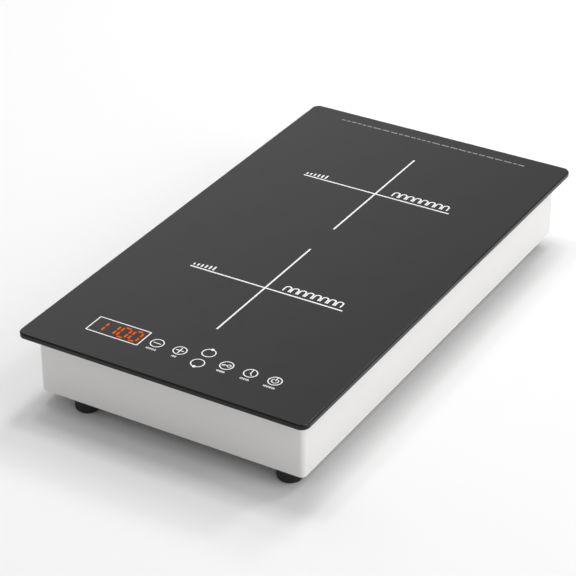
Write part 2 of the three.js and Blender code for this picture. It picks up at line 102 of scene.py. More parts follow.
class Blank:
    """A mesh in the making, in millimetres. Each method adds closed forms and gives the blank back."""

    def __init__(self):
        self.mesh = bmesh.new()

    def skin(self, rings, looped=False):
        """Covers a run of equal rings of points. Its two ends are closed, or joined if it is looped."""
        rows = [[self.mesh.verts.new(point) for point in ring] for ring in rings]
        steps = list(zip(rows, rows[1:]))
        if looped:
            steps.append((rows[-1], rows[0]))
        for low, high in steps:
            for i, vertex in enumerate(low):
                j = (i + 1) % len(low)
                self.mesh.faces.new((vertex, low[j], high[j], high[i]))
        if not looped:
            self.mesh.faces.new(rows[0][::-1])
            self.mesh.faces.new(rows[-1])
        return self

    def turned(self, profile, centre=(0, 0, 0), steps=40, looped=False):
        """A lathe piece about +Z from (radius, height) pairs."""
        x, y, z = centre
        rings = [
            [(x + px, y + py, z + high) for px, py in circle(radius, steps=steps)]
            for radius, high in profile
        ]
        return self.skin(rings, looped)

    def framed(self, wide, deep, corner, profile, centre=(0, 0), steps=6, looped=False):
        """A profile of (inset, height) pairs run around a rectangle with round corners."""
        rings = []
        for inset, high in profile:
            bend = max(corner - inset, LEAST_CORNER)
            outline = round_rectangle(wide - 2 * inset, deep - 2 * inset, bend, centre, steps)
            rings.append([(x, y, high) for x, y in outline])
        return self.skin(rings, looped)

    def block(self, low, high, edge=0.3, corner=None, steps=3):
        """A box between two corners with eased edges."""
        (x0, y0, z0), (x1, y1, z1) = low, high
        profile = [(edge, z0), (edge * 0.3, z0 + edge * 0.3), (0, z0 + edge)]
        profile += [(0, z1 - edge), (edge * 0.3, z1 - edge * 0.3), (edge, z1)]
        middle = ((x0 + x1) / 2, (y0 + y1) / 2)
        return self.framed(x1 - x0, y1 - y0, corner or edge, profile, middle, steps)

    def pressed(self, outline, low, high, holes=(), edge=0.2):
        """A flat form between two heights, with holes and eased edges."""
        curve = bpy.data.curves.new("outline", "CURVE")
        curve.dimensions = "2D"
        curve.fill_mode = "BOTH"
        for loop in (outline, *holes):
            spline = curve.splines.new("POLY")
            spline.points.add(len(loop) - 1)
            spline.points.foreach_set("co", [n for x, y in loop for n in (x, y, 0, 1)])
            spline.use_cyclic_u = True
        curve.extrude = (high - low) / 2 - edge
        curve.bevel_depth = edge
        curve.bevel_resolution = 1
        curve.offset = -edge
        holder = bpy.data.objects.new("outline", curve)
        bpy.context.scene.collection.objects.link(holder)
        flat = bpy.data.meshes.new_from_object(holder.evaluated_get(bpy.context.evaluated_depsgraph_get()))
        bpy.data.objects.remove(holder)
        form = Blank()
        form.mesh.from_mesh(flat)
        bmesh.ops.remove_doubles(form.mesh, verts=form.mesh.verts, dist=edge / 20)
        return self.add(form, [(0, 0, (low + high) / 2)])

    def rod(self, path, radius, sides=10):
        """A round rod along a path."""
        spots = [Vector(point) for point in path]
        last = len(spots) - 1
        rings = []
        up = None
        for i, spot in enumerate(spots):
            before = spots[i - 1] if i else spot
            after = spots[i + 1] if i < last else spot
            along = (after - before).normalized()
            if up is None:
                up = along.orthogonal().normalized()
            up = (up - along * up.dot(along)).normalized()
            side = along.cross(up)
            rings.append([
                spot + (up * math.cos(a) + side * math.sin(a)) * radius
                for a in (math.tau * step / sides for step in range(sides))
            ])
        return self.skin(rings)

    def film(self, outline, low, high):
        """A thin flat form with square edges."""
        return self.skin([[(x, y, z) for x, y in outline] for z in (low, high)])

    def stroke(self, path, width, low, high, looped=False):
        """A flat line of that width along a path."""
        left, right = stroke_sides(path, width, looped)
        rings = [
            [(*a, low), (*b, low), (*b, high), (*a, high)]
            for a, b in zip(left, right)
        ]
        return self.skin(rings, looped)

    def add(self, other, places=((0, 0, 0),)):
        """Copies of another blank, at points or by matrices."""
        for place in places:
            matrix = place if isinstance(place, Matrix) else Matrix.Translation(place)
            copied = {v: self.mesh.verts.new(matrix @ v.co) for v in other.mesh.verts}
            for face in other.mesh.faces:
                self.mesh.faces.new([copied[v] for v in face.verts])
        return self

    def move(self, matrix):
        bmesh.ops.transform(self.mesh, matrix=matrix, verts=self.mesh.verts)
        return self

    def carve(self, cutter):
        """Cuts away another blank's closed forms. No form may run into another form of its own blank."""
        holders = []
        for blank in (self, cutter):
            bmesh.ops.recalc_face_normals(blank.mesh, faces=blank.mesh.faces)
            data = bpy.data.meshes.new("carving")
            blank.mesh.to_mesh(data)
            holders.append(bpy.data.objects.new("carving", data))
            bpy.context.scene.collection.objects.link(holders[-1])
        work, tool = holders
        knife = work.modifiers.new("carve", "BOOLEAN")
        knife.operation = "DIFFERENCE"
        knife.solver = "EXACT"
        knife.object = tool
        carved = bpy.data.meshes.new_from_object(work.evaluated_get(bpy.context.evaluated_depsgraph_get()))
        for holder in holders:
            bpy.data.objects.remove(holder)
        if not carved.polygons:
            raise ValueError("the cut left nothing: a form runs into another of its own blank")
        self.mesh.clear()
        self.mesh.from_mesh(carved)
        return self

    def ease(self, chosen, width, segments=2):
        """Rounds the edges that chosen picks out."""
        edges = [edge for edge in self.mesh.edges if chosen(edge)]
        bmesh.ops.bevel(
            self.mesh, geom=edges, offset=width, segments=segments, profile=0.5, affect="EDGES",
            clamp_overlap=True,
        )
        return self


LEAST_CORNER = 0.15
SHARP_FROM = math.radians(38)


def turn(degrees, axis="Z", at=(0, 0, 0)):
    """A matrix that turns about an axis and then moves to a place."""
    return Matrix.Translation(at) @ Matrix.Rotation(math.radians(degrees), 4, axis)


def extent(node):
    """A CAD node's lowest corner, highest corner and middle, in millimetres."""
    low, high = (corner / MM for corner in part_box(node))
    return low, high, (low + high) / 2


def make(name, blank, finish, stands_for=(), body="body", even=True):
    """Makes a piece of the cooktop from a blank, puts it on the body it rides on, and hides the nodes it
    stands for.
    """
    bm = blank.mesh
    bmesh.ops.recalc_face_normals(bm, faces=bm.faces)
    bmesh.ops.scale(bm, vec=(MM, MM, MM), verts=bm.verts)
    for edge in bm.edges:
        edge.smooth = edge.calc_face_angle(math.pi) < SHARP_FROM
    for face in bm.faces:
        face.smooth = True
    mesh = bpy.data.meshes.new(name)
    bm.to_mesh(mesh)
    bm.free()
    mesh.materials.append(finish)
    piece = bpy.data.objects.new(name, mesh)
    bpy.context.scene.collection.objects.link(piece)
    if even:
        shading = piece.modifiers.new("even_shading", "WEIGHTED_NORMAL")
        shading.keep_sharp = True
    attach(piece, body)
    if stands_for:
        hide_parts(*stands_for)
    return piece


# ---- finishes: how a surface is written ----


class Reading:
    """A number that changes over a surface. Arithmetic on readings adds the Math nodes that work it out."""

    def __init__(self, finish, socket):
        self.finish = finish
        self.socket = socket

    def work(self, operation, *others):
        return self.finish.node("Math", {"operation": operation}, [self, *others])

    def __add__(self, other):
        return self.work("ADD", other)

    def __radd__(self, other):
        return self.work("ADD", other)

    def __sub__(self, other):
        return self.work("SUBTRACT", other)

    def __rsub__(self, other):
        return self.finish.node("Math", {"operation": "SUBTRACT"}, [other, self])

    def __mul__(self, other):
        return self.work("MULTIPLY", other)

    def __truediv__(self, other):
        return self.work("DIVIDE", other)

    def between(self, low, high):
        """0 below low, 1 above high, and smooth on the way."""
        settings = {"interpolation_type": "SMOOTHSTEP"}
        return self.finish.node("MapRange", settings, {"Value": self, "From Min": low, "From Max": high})


class Finish:
    """A material in the making, around one Principled shader."""

    def __init__(self, name, constants):
        self.material = bpy.data.materials.new(name)
        self.material.use_nodes = True
        self.tree = self.material.node_tree
        self.shader = self.tree.nodes["Principled BSDF"]
        for socket, value in constants.items():
            self.shader.inputs[socket].default_value = value
        self.where = self.node("TexCoord", output="Object")

    def node(self, kind, settings=None, inputs=None, output=0):
        """Any node by its type, with its settings first and then the values or readings of its sockets."""
        made = self.tree.nodes.new("ShaderNode" + kind)
        for setting, value in (settings or {}).items():
            setattr(made, setting, value)
        pairs = inputs.items() if isinstance(inputs, dict) else enumerate(inputs or [])
        for place, value in pairs:
            self.feed(made.inputs[place], value)
        return Reading(self, made.outputs[output])

    def feed(self, socket, value):
        if isinstance(value, Reading):
            self.tree.links.new(value.socket, socket)
        else:
            socket.default_value = value

    def stretched(self, stretch):
        """Places on the piece with each axis scaled."""
        if stretch == (1, 1, 1):
            return self.where
        return self.node("VectorMath", {"operation": "MULTIPLY"}, [self.where, stretch])

    def clouds(self, size, detail=3, stretch=(1, 1, 1), rough=0.5):
        """Soft noise from 0 to 1 with blotches of about that many millimetres."""
        inputs = {"Vector": self.stretched(stretch), "Scale": 1 / (size * MM)}
        inputs.update({"Detail": detail, "Roughness": rough})
        return self.node("TexNoise", {}, inputs)

    def cells(self, size, feature="F1", stretch=(1, 1, 1), output="Distance"):
        """Distance to the nearest of many scattered points, about that many millimetres apart."""
        inputs = {"Vector": self.stretched(stretch), "Scale": 1 / (size * MM)}
        return self.node("TexVoronoi", {"feature": feature}, inputs, output)

    def axis(self, letter):
        """A place's x, y or z in millimetres."""
        return self.node("SeparateXYZ", {}, [self.where], letter) / MM

    def tint(self, share, first, second):
        """A colour from first to second as share goes from 0 to 1."""
        return self.node("Mix", {"data_type": "RGBA"}, {0: share, 6: first, 7: second}, 2)

    def relief(self, height, depth):
        """A surface normal for a relief of that many millimetres."""
        return self.node("Bump", {}, {"Strength": 1, "Distance": depth * MM, "Height": height})

    def show(self, readings):
        for socket, value in readings.items():
            self.feed(self.shader.inputs[socket], value)
        return self.material


def grey(level, warm=0.0):
    """A colour of that linear level, warmer as warm grows."""
    return (level * (1 + warm), level, level * (1 - warm), 1)


# ---- finishes of this cooktop ----


def ceramic_glass_finish():
    """Black glass, polished on top and ground to a duller shine round its edge."""
    top = extent("glass_top")[1].z
    f = Finish("ceramic_glass", {"IOR": 1.5, "Specular IOR Level": 0.3, "Coat Roughness": 0.03})
    wiping = f.clouds(70, 4, (1, 0.4, 1))
    dust = f.clouds(0.7, 2).between(0.66, 0.8)
    hands = f.clouds(24, 5).between(0.5, 0.75)
    return f.show({
        "Base Color": f.tint(dust * 0.3, GLASS_BLACK, GLASS_DUST),
        "Roughness": 0.03 + wiping.between(0.4, 0.7) * 0.035 + hands * 0.02 + dust * 0.04,
        "Coat Weight": f.axis("Z").between(top - 0.2, top - 0.05) * (0.38 - hands * 0.04),
        "Normal": f.relief(f.clouds(38, 1), 0.004),
    })


def ink_finish(name, colour, worn):
    f = Finish(name, {"IOR": 1.5})
    mottle = f.clouds(1.4, 4)
    return f.show({
        "Base Color": f.tint(mottle.between(0.3, 0.8), colour, worn),
        "Roughness": 0.34 + mottle * 0.14,
        "Normal": f.relief(f.clouds(0.35, 2), 0.006),
    })


def lit_finish(name, core, edge, strength):
    f = Finish(name, {"Emission Strength": strength, "Base Color": grey(0.002), "Specular IOR Level": 0.02})
    glow = f.clouds(1.6, 2)
    return f.show({
        "Emission Color": f.tint(glow.between(0.3, 0.75), core, edge),
        "Roughness": 0.2 + glow * 0.1,
    })


def powder_coat_finish(name, colour, shade, peel=0.02):
    f = Finish(name, {"IOR": 1.48})
    skin = f.clouds(1.1, 3, rough=0.55)
    speck = f.clouds(0.32, 2)
    drift = f.clouds(120, 2)
    return f.show({
        "Base Color": f.tint(drift * 0.5 + speck.between(0.55, 0.75) * 0.35, colour, shade),
        "Roughness": 0.34 + speck * 0.12,
        "Normal": f.relief(skin + speck * 0.25, peel),
    })


def rubber_finish():
    f = Finish("foot_rubber", {"IOR": 1.52})
    grain = f.clouds(0.5, 4)
    bloom = f.clouds(9, 3).between(0.45, 0.8)
    return f.show({
        "Base Color": f.tint(bloom * 0.6, grey(0.005), grey(0.014, 0.05)),
        "Roughness": 0.58 + grain * 0.2 + bloom * 0.08,
        "Normal": f.relief(grain, 0.05),
    })


def foam_finish():
    f = Finish("seal_foam", {"IOR": 1.45})
    cell = f.cells(0.9)
    return f.show({
        "Base Color": f.tint(cell.between(0.1, 0.7), grey(0.02), grey(0.006)),
        "Roughness": 0.82 + cell * 0.12,
        "Normal": f.relief(cell, 0.12),
    })


def metal_finish(name, colour, shade, rough, brushed, streak):
    """Bare metal. brushed stretches its streaks, and streak is their height in millimetres."""
    f = Finish(name, {"Metallic": 1.0})
    lines = f.clouds(0.6, 4, brushed)
    cloud = f.clouds(14, 3)
    return f.show({
        "Base Color": f.tint(cloud.between(0.3, 0.7), colour, shade),
        "Roughness": rough + lines * 0.16 + cloud * 0.06,
        "Normal": f.relief(lines, streak),
    })


def moulded_finish(name, colour, shade, rough, texture=0.02, grain=0.7):
    """Moulded plastic with an eroded surface and slight flow marks."""
    f = Finish(name, {"IOR": 1.5})
    pits = f.clouds(grain, 3)
    flow = f.clouds(18, 3, (1, 0.5, 1))
    return f.show({
        "Base Color": f.tint(flow.between(0.3, 0.75) * 0.7 + pits * 0.3, colour, shade),
        "Roughness": rough + pits * 0.16 + flow * 0.05,
        "Normal": f.relief(pits, texture),
    })


def winding_finish():
    """Enamelled copper strands laid with a twist, seen as fine slanting ridges."""
    f = Finish("copper_winding", {"Metallic": 1.0, "Coat Weight": 0.6, "Coat Roughness": 0.25})
    x, y = f.axis("X"), f.axis("Y")
    lay = ((x * 0.8 + y).work("SINE") * (x - y * 0.7).work("SINE")) * 0.5 + 0.5
    strands = f.cells(0.55, stretch=(1, 1, 0.6))
    return f.show({
        "Base Color": f.tint(lay * 0.5 + strands * 0.5, (0.62, 0.21, 0.075, 1), (0.36, 0.1, 0.03, 1)),
        "Roughness": 0.26 + strands * 0.22,
        "Normal": f.relief(strands + lay * 0.3, 0.12),
    })


def fleck_finish(name, colour, shade, flecks, rough, size=0.9, relief=0.03):
    """A fired or filled material with flecks of another colour in it."""
    f = Finish(name, {"IOR": 1.55})
    fleck = f.cells(size).between(0.0, 0.28)
    cloud = f.clouds(11, 4)
    ground = f.tint(cloud.between(0.25, 0.75), colour, shade)
    return f.show({
        "Base Color": f.node("Mix", {"data_type": "RGBA"}, {0: fleck, 6: flecks, 7: ground}, 2),
        "Roughness": rough + cloud * 0.14 - (1 - fleck) * 0.1,
        "Normal": f.relief(cloud + fleck * 0.4, relief),
    })


def mica_finish():
    """Pressed flakes that lie over each other, each with a tone of its own."""
    f = Finish("mica", {"IOR": 1.58, "Coat Weight": 0.35, "Coat Roughness": 0.2})
    flake = f.cells(7, stretch=(1, 0.8, 0.02))
    edge = f.cells(4.5, "DISTANCE_TO_EDGE", (0.8, 1, 0.02)).between(0.02, 0.12)
    tone = f.clouds(16, 5)
    pale, deep = (0.56, 0.44, 0.25, 1), (0.36, 0.25, 0.11, 1)
    return f.show({
        "Base Color": f.tint(tone.between(0.3, 0.7) * 0.6 + flake * 0.35 + (1 - edge) * 0.2, pale, deep),
        "Roughness": 0.3 + flake * 0.25 + (1 - edge) * 0.15,
        "Normal": f.relief(edge + flake * 0.4, 0.03),
    })


def laminate_finish():
    """Green solder resist over copper tracks that run square to the board."""
    f = Finish("circuit_board", {"IOR": 1.52, "Coat Weight": 0.4, "Coat Roughness": 0.18})
    lanes_x = (f.axis("X") * 1.6 + f.clouds(22, 0) * 9).work("SINE")
    lanes_y = (f.axis("Y") * 1.6 + f.clouds(26, 0, (1, 1, 2)) * 9).work("SINE")
    across = f.cells(19, output="Color", stretch=(1, 1, 0.01)).work("FRACT").between(0.49, 0.51)
    track = (across * lanes_x + (1 - across) * lanes_y).between(0.35, 0.5)
    weave = f.clouds(0.8, 2)
    return f.show({
        "Base Color": f.tint(track * 0.75 + weave * 0.2, (0.012, 0.085, 0.026, 1), (0.04, 0.2, 0.06, 1)),
        "Roughness": 0.32 + weave * 0.12,
        "Normal": f.relief(track + weave * 0.2, 0.04),
    })


GLASS_BLACK = grey(0.0035)
GLASS_DUST = grey(0.02, 0.04)
INK_WHITE = grey(0.92, 0.003)
INK_WORN = grey(0.84, 0.006)
INK_GREY = grey(0.3)
INK_FAINT = grey(0.22)
LIT_ORANGE = (0.88, 0.17, 0.004, 1)
LIT_DEEP = (0.76, 0.085, 0.003, 1)
LIT_FRINGE = (0.34, 0.012, 0.003, 1)
COAT_GREY = grey(0.845, 0.012)
COAT_SHADE = grey(0.8, 0.016)
BASE_GREY = grey(0.42, 0.01)
BASE_SHADE = grey(0.36, 0.015)
CORE_GREEN = (0.03, 0.09, 0.05, 1)
CORE_SHADE = (0.02, 0.07, 0.04, 1)
CASE_RED = (0.3, 0.03, 0.018, 1)
CASE_SHADE = (0.24, 0.022, 0.014, 1)
SLEEVE_BLUE = (0.02, 0.03, 0.07, 1)
SLEEVE_SHADE = (0.015, 0.02, 0.05, 1)
LENS_RED = (0.03, 0.004, 0.003, 1)
LENS_SHADE = (0.02, 0.003, 0.002, 1)
BAR_ORANGE = (0.62, 0.2, 0.1, 1)
BAR_SHADE = (0.55, 0.16, 0.08, 1)

FINISH = {
    "glass": ceramic_glass_finish(),
    "ink": ink_finish("white_ink", INK_WHITE, INK_WORN),
    "faint_ink": ink_finish("grey_ink", INK_GREY, INK_FAINT),
    "lit": lit_finish("lit_segments", LIT_ORANGE, LIT_DEEP, 1.0),
    "glow": lit_finish("segment_glow", LIT_FRINGE, LIT_FRINGE, 1.0),
    "coat": powder_coat_finish("housing_paint", COAT_GREY, COAT_SHADE),
    "base_coat": powder_coat_finish("base_paint", BASE_GREY, BASE_SHADE),
    "rubber": rubber_finish(),
    "foam": foam_finish(),
    "zinc": metal_finish("screw_steel", grey(0.62, 0.02), grey(0.5, 0.05), 0.2, (1, 1, 0.2), 0.01),
    "black_plastic": moulded_finish("black_plastic", grey(0.012), grey(0.02), 0.42),
    "fan_plastic": moulded_finish("fan_plastic", grey(0.01), grey(0.018), 0.36, 0.03, 1.1),
    "natural_plastic": fleck_finish(
        "bobbin_plastic", grey(0.66, 0.05), grey(0.58, 0.07), grey(0.8, 0.02), 0.42,
    ),
    "nylon": moulded_finish("white_nylon", grey(0.72, 0.02), grey(0.66, 0.03), 0.4),
    "silicone": moulded_finish("silicone", grey(0.5, 0.01), grey(0.42, 0.01), 0.5, 0.015),
    "sheet_aluminium": metal_finish("aluminium_sheet", grey(0.8), grey(0.72), 0.26, (0.04, 1, 1), 0.012),
    "drawn_aluminium": metal_finish("aluminium_extrusion", grey(0.76), grey(0.68), 0.3, (0.03, 1, 1), 0.02),
    "tin": metal_finish("tinned_lead", grey(0.7, 0.02), grey(0.6, 0.02), 0.22, (1, 1, 0.3), 0.008),
    "copper": winding_finish(),
    "ferrite": fleck_finish("ferrite", grey(0.04), grey(0.028, 0.03), grey(0.12), 0.6, 0.6, 0.04),
    "core": fleck_finish("choke_core", CORE_GREEN, CORE_SHADE, grey(0.1), 0.5, 0.8, 0.04),
    "mica": mica_finish(),
    "board": laminate_finish(),
    "capacitor": moulded_finish("capacitor_case", CASE_RED, CASE_SHADE, 0.3, 0.012),
    "sleeve": moulded_finish("capacitor_sleeve", SLEEVE_BLUE, SLEEVE_SHADE, 0.25, 0.006),
    "lens": moulded_finish("display_lens", LENS_RED, LENS_SHADE, 0.16, 0.004),
    "diffuser": moulded_finish("segment_diffuser", BAR_ORANGE, BAR_SHADE, 0.4, 0.006),
}


# ---- glass plate, its seal and its printed marks ----

GLASS_CORNER = 8
GLASS_BEVEL = {"upper": 1.0, "lower": 0.4}
INK_OVER = 0.015
INK_THICK = 0.05


def quarter_round(size, steps=4):
    """(inset, drop) pairs of a rounded edge, from the flat face out to the side."""
    return [(size - x, size - y) for x, y in arc((0, 0), size, 90, -90, steps)]


def plate_profile(low, high, easing):
    """(inset, height) pairs up the side of a plate whose two edges are rounded."""
    lower = [(inset, low + drop) for inset, drop in quarter_round(easing)]
    upper = [(inset, high - drop) for inset, drop in quarter_round(easing)]
    return lower + upper[::-1]


def bevel(size):
    """(inset, drop) pairs of a flat bevel from the side up to the face, eased where it meets them."""
    ease = size * 0.12
    return [(0, size + ease), (ease, size - ease * 0.4), (size - ease, ease * 0.8), (size + ease, 0)]


def glass_plate():
    low, high, _ = extent("glass_top")
    profile = [(inset, low.z + drop) for inset, drop in bevel(GLASS_BEVEL["lower"])[::-1]]
    profile += [(inset, high.z - drop) for inset, drop in bevel(GLASS_BEVEL["upper"])]
    plate = Blank().framed(high.x - low.x, high.y - low.y, GLASS_CORNER, profile, steps=14)
    make("glass_plate", plate, FINISH["glass"], ["glass_top"])


def glass_gasket():
    low, high, _ = extent("glass_seal")
    width, corner, easing = 8, 2.5, 0.4
    profile = plate_profile(low.z, high.z, easing)
    inner = [(width - inset, z) for inset, z in profile[::-1]]
    gasket = Blank().framed(high.x - low.x, high.y - low.y, corner, profile + inner, steps=6, looped=True)
    make("glass_gasket", gasket, FINISH["foam"], ["glass_seal"])


INK_LOW = extent("glass_top")[1].z + INK_OVER
INK_HIGH = INK_LOW + INK_THICK

DISPLAY_FRAME = {"wide": 53.0, "deep": 23.2, "line": 1.1, "centre": (-69.2, -213.45)}
DIGIT = {"wide": 8.0, "upper": -210.1, "lower": -217.3, "bar": 5.9, "top": -206.0, "bottom": -221.5}
DIGIT_LINE = 1.85
DIGIT_RIGHT_SIDES = (("1", -82.9), ("1", -71.0), ("0", -59.05), ("0", -47.1))
GLOW_EDGE = 0.35

KEY_ROW = -213.5
KEY_SPLIT = 9.0
KEY_X = {"minus": -29.0, "plus": -5.7, "zones": 17.83, "lock": 41.3, "timer": 64.9, "power": 88.8}
KEY_RING = 6.5
KEY_LINE = 1.0
KEY_DOT = 1.65
SCALE_Y = -223.7
SCALE_WIDTH = {"minus": 10.3, "plus": 4.9, "lock": 8.4, "timer": 9.3, "power": 11.5}


class Ink(Blank):
    """Marks printed on top of the glass."""

    def line(self, start, end, width):
        return self.stroke([start, end], width, INK_LOW, INK_HIGH)

    def path(self, points, width, looped=False):
        return self.stroke(points, width, INK_LOW, INK_HIGH, looped)

    def ring(self, centre, outer, width, steps=40):
        return self.path(circle(outer - width / 2, centre, steps), width, looped=True)

    def dot(self, centre, radius):
        """A full dot, a little over the lines, so that the two tops never share a plane."""
        return self.film(circle(radius, centre, 20), INK_LOW, INK_HIGH + INK_THICK / 4)


def display_frame():
    wide, deep, line, centre = (DISPLAY_FRAME[k] for k in ("wide", "deep", "line", "centre"))
    frame_line = Ink().path(round_rectangle(wide, deep, 0.5, centre, 2), line, looped=True)
    make("display_frame", frame_line, FINISH["ink"], even=False)


def segment(middle, long, wide, upright):
    """A lit bar with pointed ends."""
    half, tip = long / 2, wide / 2
    outline = [(-half, 0), (tip - half, -tip), (half - tip, -tip)]
    outline += [(half, 0), (half - tip, tip), (tip - half, tip)]
    if upright:
        outline = [(-y, x) for x, y in outline]
    return [(middle[0] + x, middle[1] + y) for x, y in outline]


def digit_segments(grow):
    """Every lit segment of the four digits, made larger all round by grow."""
    bars = []
    for figure, right in DIGIT_RIGHT_SIDES:
        upright = [right] if figure == "1" else [right, right - DIGIT["wide"]]
        for x in upright:
            for y in (DIGIT["upper"], DIGIT["lower"]):
                bars.append(segment((x, y), DIGIT["bar"] + 2 * grow, DIGIT_LINE + 2 * grow, True))
        if figure == "0":
            for y in (DIGIT["top"], DIGIT["bottom"]):
                middle = (right - DIGIT["wide"] / 2, y)
                bars.append(segment(middle, DIGIT["bar"] + 2 * grow, DIGIT_LINE + 2 * grow, False))
    return bars


def display_digits():
    glow, lit = Blank(), Blank()
    for outline in digit_segments(GLOW_EDGE):
        glow.film(outline, INK_LOW, INK_LOW + INK_THICK / 2)
    for outline in digit_segments(0):
        lit.film(outline, INK_HIGH - INK_THICK / 3, INK_HIGH)
    make("digit_glow", glow, FINISH["glow"], even=False)
    make("digit_segments", lit, FINISH["lit"], even=False)


def key_ring(ink, x, y):
    ink.ring((x, y), KEY_RING, KEY_LINE)


def minus_key(ink, x, y):
    ink.line((x - 3.65, y), (x + 3.65, y), 1.0)


def plus_key(ink, x, y):
    ink.line((x - 3.9, y), (x + 3.9, y), 1.0)
    ink.line((x, y + 0.5), (x, y + 4.5), 1.0)
    ink.line((x, y - 4.5), (x, y - 0.5), 1.0)


def lock_key(ink, x, y):
    bow = (x + 2.2, y + 0.35)
    ink.ring(bow, 2.1, 0.8, 24)
    ink.line((bow[0] - 1.9, bow[1]), (x - 4.2, bow[1]), 0.8)
    for tooth in (-3.8, -2.2):
        ink.line((x + tooth, bow[1] - 0.4), (x + tooth, bow[1] - 2.0), 0.8)


def timer_key(ink, x, y):
    ink.path([(x, y + KEY_RING - KEY_LINE), (x, y), (x + 2.4, y - 2.9)], 0.9)


def power_key(ink, x, y):
    ink.path(arc((x, y), 2.95, 125, 290, 28), 0.9)
    ink.line((x, y + KEY_RING - KEY_LINE), (x, y + 0.4), 0.9)


def tick_scale(ink, x, width, heights):
    """A short scale of upright ticks under a key."""
    pitch = width / len(heights)
    for shift, high in zip(row(len(heights), pitch), heights):
        ink.line((x + shift, SCALE_Y - high / 2), (x + shift, SCALE_Y + high / 2), 0.72)


def key_symbols():
    ink = Ink()
    drawings = {"minus": minus_key, "plus": plus_key, "lock": lock_key}
    drawings.update({"timer": timer_key, "power": power_key})
    for name, draw in drawings.items():
        key_ring(ink, KEY_X[name], KEY_ROW)
        draw(ink, KEY_X[name], KEY_ROW)
        count = round(SCALE_WIDTH[name] / 1.25)
        tick_scale(ink, KEY_X[name], SCALE_WIDTH[name], [1.8 + 0.9 * (i % 2) for i in range(count)])
    for end in (1, -1):
        y = KEY_ROW + end * KEY_SPLIT
        key_ring(ink, KEY_X["zones"], y)
        ink.dot((KEY_X["zones"], y + end * (KEY_RING - KEY_LINE / 2)), KEY_DOT)
    make("key_symbols", ink, FINISH["ink"], even=False)


ZONE_CROSS = {"reach_x": 79.4, "reach_y": 81.0, "line": 1.7}
ZONES = {"front": (2.7, -87.1), "rear": (2.7, 118.0)}


def level_bars(ink, left, base):
    """A row of bars that grow to the right, for the zone's power."""
    for i in range(6):
        x = left + 1.6 + i * 4.1
        ink.line((x, base), (x, base + 3.2 + 0.7 * i), 1.7)


def coil_sign(ink, left, base, loops=8, pitch=7.6, high=8.6):
    """A row of tall open loops, the usual sign for a winding."""
    radius = pitch / 2 - 0.9
    for i in range(loops):
        middle = left + pitch * (i + 0.5)
        over = arc((middle, base + high - radius), radius, 180, -180, 12)
        ink.path([(middle - radius, base), *over, (middle + radius, base)], 1.45)


def zone_marks():
    for end, (x, y) in ZONES.items():
        ink = Ink()
        reach_x, reach_y, line = (ZONE_CROSS[k] for k in ("reach_x", "reach_y", "line"))
        ink.line((x - reach_x, y), (x + reach_x, y), line)
        for side in (-1, 1):
            ink.line((x, y + side * reach_y), (x, y + side * line / 2), line)
        level_bars(ink, x - reach_x, y + 2.8)
        coil_sign(ink, x + 14.7, y + 4.2)
        make(f"zone_marks_{end}", ink, FINISH["ink"], even=False)


REAR_RULE = {"y": 242.6, "left": -104, "right": 104.6, "high": 1.7}


def rear_rule():
    """A line of plain dashes along the rear edge."""
    ink = Ink()
    lengths = random.Random(4)
    x = REAR_RULE["left"]
    while x < REAR_RULE["right"] - 3:
        end = min(x + lengths.uniform(3, 9), REAR_RULE["right"])
        ink.line((x, REAR_RULE["y"]), (end, REAR_RULE["y"]), REAR_RULE["high"])
        x = end + 1.8
    make("rear_rule", ink, FINISH["faint_ink"], even=False)


# ---- housing ----

SHEET = 1.2
SHELL_CORNER = 4.5
SHELL_BEND = 1.9
FLANGE = 12
LEDGE = {"reach": 8, "low": 14.35}
SLOT = {"wide": 3.4, "pitch": 8.4, "easing": 0.25}
SLOT_END = SLOT["wide"] * 0.499
EXHAUST = {"long": 26, "columns": 10, "groups": (-86, 4), "z": 42}
GLAND_HOLE = 7.9


def shell_profile(low, high):
    """(inset, height) pairs round the section of the folded sheet, from the bottom edge up the outside."""
    rim = 0.35
    ledge_top = LEDGE["low"] + SHEET
    ledge_end = SHEET + LEDGE["reach"]
    flange_end = SHEET + FLANGE
    bend = [(SHELL_BEND - x, high - SHELL_BEND + y) for x, y in arc((0, 0), SHELL_BEND, 0, 90, 6)]
    inner = SHELL_BEND - SHEET
    inner_bend = [(SHELL_BEND - x, high - SHELL_BEND + y) for x, y in arc((0, 0), inner, 90, -90, 4)]
    return [
        (rim, low), (rim * 0.3, low + rim * 0.3), (0, low + rim), *bend,
        (flange_end - rim, high), (flange_end, high - rim), (flange_end, high - SHEET + rim),
        (flange_end - rim, high - SHEET), *inner_bend,
        (SHEET, ledge_top + 0.8), (SHEET + 0.8, ledge_top), (ledge_end - rim, ledge_top),
        (ledge_end, ledge_top - rim), (ledge_end, LEDGE["low"] + rim), (ledge_end - rim, LEDGE["low"]),
        (SHEET + 0.4, LEDGE["low"]), (SHEET, LEDGE["low"] - 0.4), (SHEET, low + rim), (SHEET - rim, low),
    ]


def rear_opening(outline, wall_y):
    """A cutter through the rear wall, drawn in X and Z."""
    rings = [[(x, wall_y + y, z) for x, z in outline] for y in (-3, 2)]
    return Blank().skin(rings)


